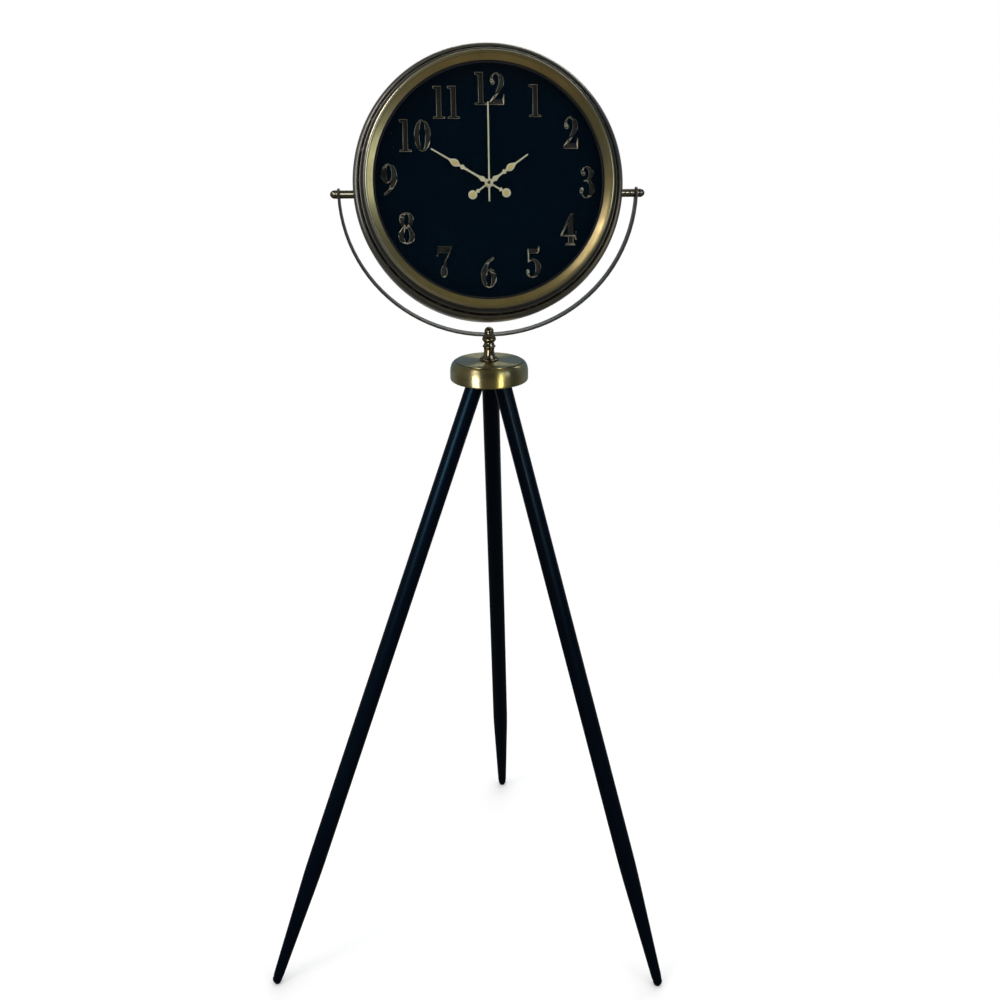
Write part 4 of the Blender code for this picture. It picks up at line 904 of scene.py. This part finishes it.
bush_radius, movement_front = 0.0043, dial_back - 0.0014
arbor_end = movement_front - 0.006
for name, body, inner, outer, top in (
        ("hour_tube", "hour_hand", 0.0019, 0.0025, hour_plane + hand_thick),
        ("minute_arbor", "minute_hand", 0.0008, 0.0016, minute_plane + hand_thick)):
    turned_piece(f"turned_{name}", ring(inner, outer, arbor_end, top, 0.00008), head_place, body,
                 zinc, name, 32)
nut_outline = ring(bush_radius, 0.0064, dial_front + play, dial_front + 0.0021, 0.0003)
turned_piece("bush_nut_ring", nut_outline, head_place, "head", hand_brass, "bush_nut",
             48)
washer_outline = ring(bush_radius, 0.0180, movement_front + play, dial_back - play, 0.0002)
turned_piece("rubber_disc", washer_outline, head_place, "head", rubber, "rubber_washer",
             48)
print("second hand stands", round(second_plane, 4), "m in front of the pins")

# %% [markdown]
# The back is plain: a painted board with a round window. Through it one reaches the movement, its
# battery and the knob that sets the hands. The battery is turned like the brass, and its printed
# wrap changes colour at a fixed length along the outline.

# %% Movement and battery
refined("movement_case", 0.0006, "head", plastic, 3)
for node in ("contact_plus", "contact_minus"):
    refined(node, 0.0001, "head", zinc, 1)


def make_wrap():
    """A battery's printed wrap: a black body and a copper-coloured top, with steel ends."""
    material, tree, shader = new_finish("battery_wrap", metallic=0.35)
    copper_length = 0.0215
    body = spread(tree, turned_uv(tree)[1], copper_length, copper_length + 0.0003)
    grain = noise(tree, object_vector(tree), 700.0)
    wrap = mix(tree, body, (0.50, 0.27, 0.11), (0.020, 0.020, 0.022))
    wire(tree, shader, mix(tree, spread(tree, grain, 0.2, 0.8, 0.0, 0.15), wrap, (0.4, 0.4, 0.4)),
         spread(tree, grain, 0.3, 0.7, 0.25, 0.35))
    bump(tree, shader, grain, 0.000004)
    return material


cell_low, cell_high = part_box("battery")
cell_place = place_of((cell_low + cell_high) / 2, dial_normal.cross(across), dial_normal)
cell_radius, tip_radius, cell_top, cell_end = 0.0071, 0.0027, 0.0240, 0.0250
cell = eased([(0, cell_end), (tip_radius, cell_end, 0.0003), (tip_radius, cell_top),
              (cell_radius, cell_top, 0.0008), (cell_radius, -cell_end, 0.0008), (0, -cell_end)])
turned_piece("plain_cell", cell, cell_place, "head", make_wrap(), "battery", 48,
             closed=False)
print("battery", cell_end * 2, "m long")

# %% [markdown]
# The knob is ribbed so that a finger can turn it. It is turned with 60 sides, and every other side
# is inset and pushed in a little.

# %% Knob
knob_radius, knob_deep, knob_sides, shaft_radius, shaft_length = 0.0070, 0.0045, 60, 0.0020, 0.0040
knob_face = movement_front - 0.0150 - play
knob_place = place_of(Vector(joints["setting_knob_turn"]["pos_m"]), across,
                      dial_normal.cross(across))
knob = lathe(eased([(0, knob_face + shaft_length), (shaft_radius, knob_face + shaft_length),
                    (shaft_radius, knob_face), (knob_radius, knob_face),
                    (knob_radius, knob_face - knob_deep, 0.0008), (0, knob_face - knob_deep)]),
             knob_sides, closed=False)
middles = {face: face.calc_center_median() for face in knob.faces if abs(face.normal.z) < 0.1}
ribs = [face for face, middle in middles.items() if hypot(*middle.xy) > knob_radius - 0.0010
        and int(atan2(middle.y, middle.x) / tau * knob_sides % knob_sides) % 2]
bmesh.ops.inset_individual(knob, faces=ribs, thickness=0.0001, depth=-0.0003)
knob = add_piece("ribbed_knob", knob, knob_place, "setting_knob", plastic)
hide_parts("setting_knob")
print("knob has", len(ribs), "ribs")

# %% [markdown]
# The clock stands on white. The floor is a wide disc that shades into white far away and keeps the
# soft shadow under the feet. Glossy rays see it much darker, or the undersides of the drum and the
# legs would turn pale.

# %% Floor
def make_floor():
    """A pale floor that fades to white far away."""
    fade_start, fade_end = 0.9, 2.0
    material, tree, shader = new_finish("pale_floor", roughness=0.9)
    path = add_node(tree, "ShaderNodeLightPath")
    tree.links.new(mix(tree, path.outputs["Is Glossy Ray"], (0.94, 0.94, 0.94),
                       (0.045, 0.042, 0.030)), shader.inputs["Base Color"])
    distance = add_node(tree, "ShaderNodeVectorMath", {0: object_vector(tree)},
                        operation="LENGTH").outputs["Value"]
    far = spread(tree, distance, fade_start, fade_end)
    white = add_node(tree, "ShaderNodeEmission", {"Strength": 1.0})
    clear = add_node(tree, "ShaderNodeBsdfTransparent")
    seen = add_node(tree, "ShaderNodeMixShader", {0: path.outputs["Is Camera Ray"],
                                                  1: clear.outputs[0], 2: white.outputs[0]})
    both = add_node(tree, "ShaderNodeMixShader", {0: far, 1: shader.outputs[0],
                                                  2: seen.outputs[0]})
    tree.links.new(both.outputs[0], tree.nodes["Material Output"].inputs["Surface"])
    return material


floor_radius = 9
floor_shape = bmesh.new()
bmesh.ops.create_circle(floor_shape, cap_ends=True, radius=floor_radius, segments=64)
floor_mesh = bpy.data.meshes.new("floor")
floor_shape.to_mesh(floor_mesh)
floor_shape.free()
floor = bpy.data.objects.new("floor", floor_mesh)
floor_mesh.materials.append(make_floor())
bpy.context.scene.collection.objects.link(floor)
print("floor is", floor_radius * 2, "m across")

# %% [markdown]
# Metal mirrors the room that it stands in. So the camera and soft light see a white world, and
# glossy rays see a dim room: dark in front, which keeps the glass black, paler behind and overhead,
# and brown where a floor would be. Each wall is blended in by the direction in which the ray goes.

# %% World
white, dark_front, pale_back = (1.0, 1.0, 1.0), (0.008, 0.018, 0.028), (0.17, 0.21, 0.25)
left_wall, ceiling = (0.20, 0.21, 0.20), (0.14, 0.13, 0.08)
brown_floor, dark_floor, far_floor = (0.16, 0.13, 0.08), (0.07, 0.065, 0.05), (0.50, 0.50, 0.50)
world = bpy.data.worlds.new("studio")
bpy.context.scene.world = world
world.use_nodes = True
sky = world.node_tree
sky.nodes.clear()
glossy = add_node(sky, "ShaderNodeLightPath").outputs["Is Glossy Ray"]
direction = add_node(sky, "ShaderNodeTexCoord").outputs["Generated"]
side, depth, height = add_node(sky, "ShaderNodeSeparateXYZ", {"Vector": direction}).outputs
room = mix(sky, spread(sky, depth, -0.35, 0.75), dark_front, pale_back)
room = mix(sky, spread(sky, side, -0.5, -0.95), room, left_wall)
room = mix(sky, spread(sky, height, 0.55, 0.9), room, ceiling)
below = mix(sky, spread(sky, depth, -0.9, -0.3), brown_floor, dark_floor)
below = mix(sky, spread(sky, depth, 0.1, 1.2), below, far_floor)
mirrored = mix(sky, spread(sky, height, 0.0, -0.25), room, below)
background = add_node(sky, "ShaderNodeBackground",
                      {"Color": mix(sky, glossy, white, mirrored), "Strength": 1.0})
add_node(sky, "ShaderNodeOutputWorld", {"Surface": background.outputs[0]})
print("world is ready")

# %% [markdown]
# Metal shows a lamp as a highlight with the lamp's own shape, so all lamps are rectangles. A lamp
# that stands close enough to draw a stripe on one piece would spoil the others. Light linking keeps
# it off them: the lamp gets a collection of the pieces that it lights, or of those it leaves out.

# %% Lamp helpers
def area_lamp(name, place, target, size, power, colour):
    """A rectangular lamp that points at a target."""
    data = bpy.data.lights.new(name, "AREA")
    data.shape = "RECTANGLE"
    data.size, data.size_y = size
    data.energy = power
    data.color = colour
    lamp = bpy.data.objects.new(name, data)
    lamp.location = place
    lamp.visible_camera = False
    lamp.rotation_euler = (Vector(target) - Vector(place)).to_track_quat("-Z", "Y").to_euler()
    bpy.context.scene.collection.objects.link(lamp)
    return lamp


def light_only(lamp, pieces, state):
    """Let a lamp light only these pieces, with the state INCLUDE, or all others, with EXCLUDE."""
    chosen = bpy.data.collections.new(f"{lamp.name}_pieces")
    for piece in pieces:
        chosen.objects.link(piece)
    for chosen_object in chosen.collection_objects:
        chosen_object.light_linking.link_state = state
    lamp.light_linking.receiver_collection = chosen


print("lamp helpers are ready")

# %% [markdown]
# Three windows light the whole clock: high on the left, far on the right and behind, and the right
# one leaves out the drum, which it would turn blue. Each highlight that gives one piece its form
# gets a lamp of its own: two for the rings of the drum, two strips for the stripes on the hub, one
# for the stem, a long bar for the pins and a pane for each front leg.

# %% Lamps
left_leg, right_leg = (bpy.data.objects[f"lacquered_leg_{side}"] for side in ("left", "right"))
drum_middle, hub_middle = (0, 0, 1.35), (0, -0.03, 0.99)
windows = (
    ("left_window", (-1.85, -1.75, 3.5), (0, 0, 1.2), (1.0, 1.0), 17, (1.0, 0.90, 0.84), None),
    ("right_window", (1.95, -1.65, 2.05), (0, 0, 1.3), (1.5, 0.8), 8, (0.86, 0.96, 1.0), None),
    ("back_window", (0.4, 1.3, 2.5), (0, 0, 1.2), (1.9, 0.3), 8, (0.94, 0.97, 1.0), None),
    ("rim_window", (-1.72, -0.85, 1.9), drum_middle, (0.7, 1.5), 7, (1.0, 0.98, 0.94), [case]),
    ("rim_glow", (1.8, -0.6, 1.15), drum_middle, (0.6, 1.2), 3, (1.0, 0.84, 0.55), [case]),
    ("cream_strip", (-0.39, -0.68, 0.84), hub_middle, (0.24, 0.6), 3.2, (0.90, 0.97, 1.0), [hub]),
    ("warm_strip", (0.46, -0.64, 0.84), hub_middle, (0.12, 0.6), 1.9, (1.0, 0.93, 0.50), [hub]),
    ("front_strip", (-0.17, -0.72, 0.98), (0, -0.03, 1.0), (0.2, 0.5), 2.2, (1.0, 0.95, 0.84),
     [stem, finial]),
    ("pin_bar", (-0.05, -1.2, 1.75), (0, 0, 1.22), (1.3, 0.32), 8, (1.0, 0.98, 0.92), pin_pieces),
    ("left_pane", (-0.66, -1.45, 1.27), (-0.1, -0.1, 0.92), (0.6, 0.36), 16, (0.48, 0.78, 1.0),
     [left_leg]),
    ("right_pane", (0.55, -1.54, 1.16), (0.1, -0.1, 0.92), (0.2, 0.36), 6, (0.95, 0.97, 1.0),
     [right_leg]),
)
for name, place, target, size, power, colour, pieces in windows:
    lamp = area_lamp(name, place, target, size, power, colour)
    if pieces:
        light_only(lamp, pieces, "INCLUDE")
light_only(bpy.data.objects["right_window"], [case], "EXCLUDE")
print(len(windows), "lamps")

# %% [markdown]
# One thing is left. The Standard view shows colours as they were written, where the default view
# would soften the bright metal.

# %% View
bpy.context.scene.view_settings.view_transform = "Standard"
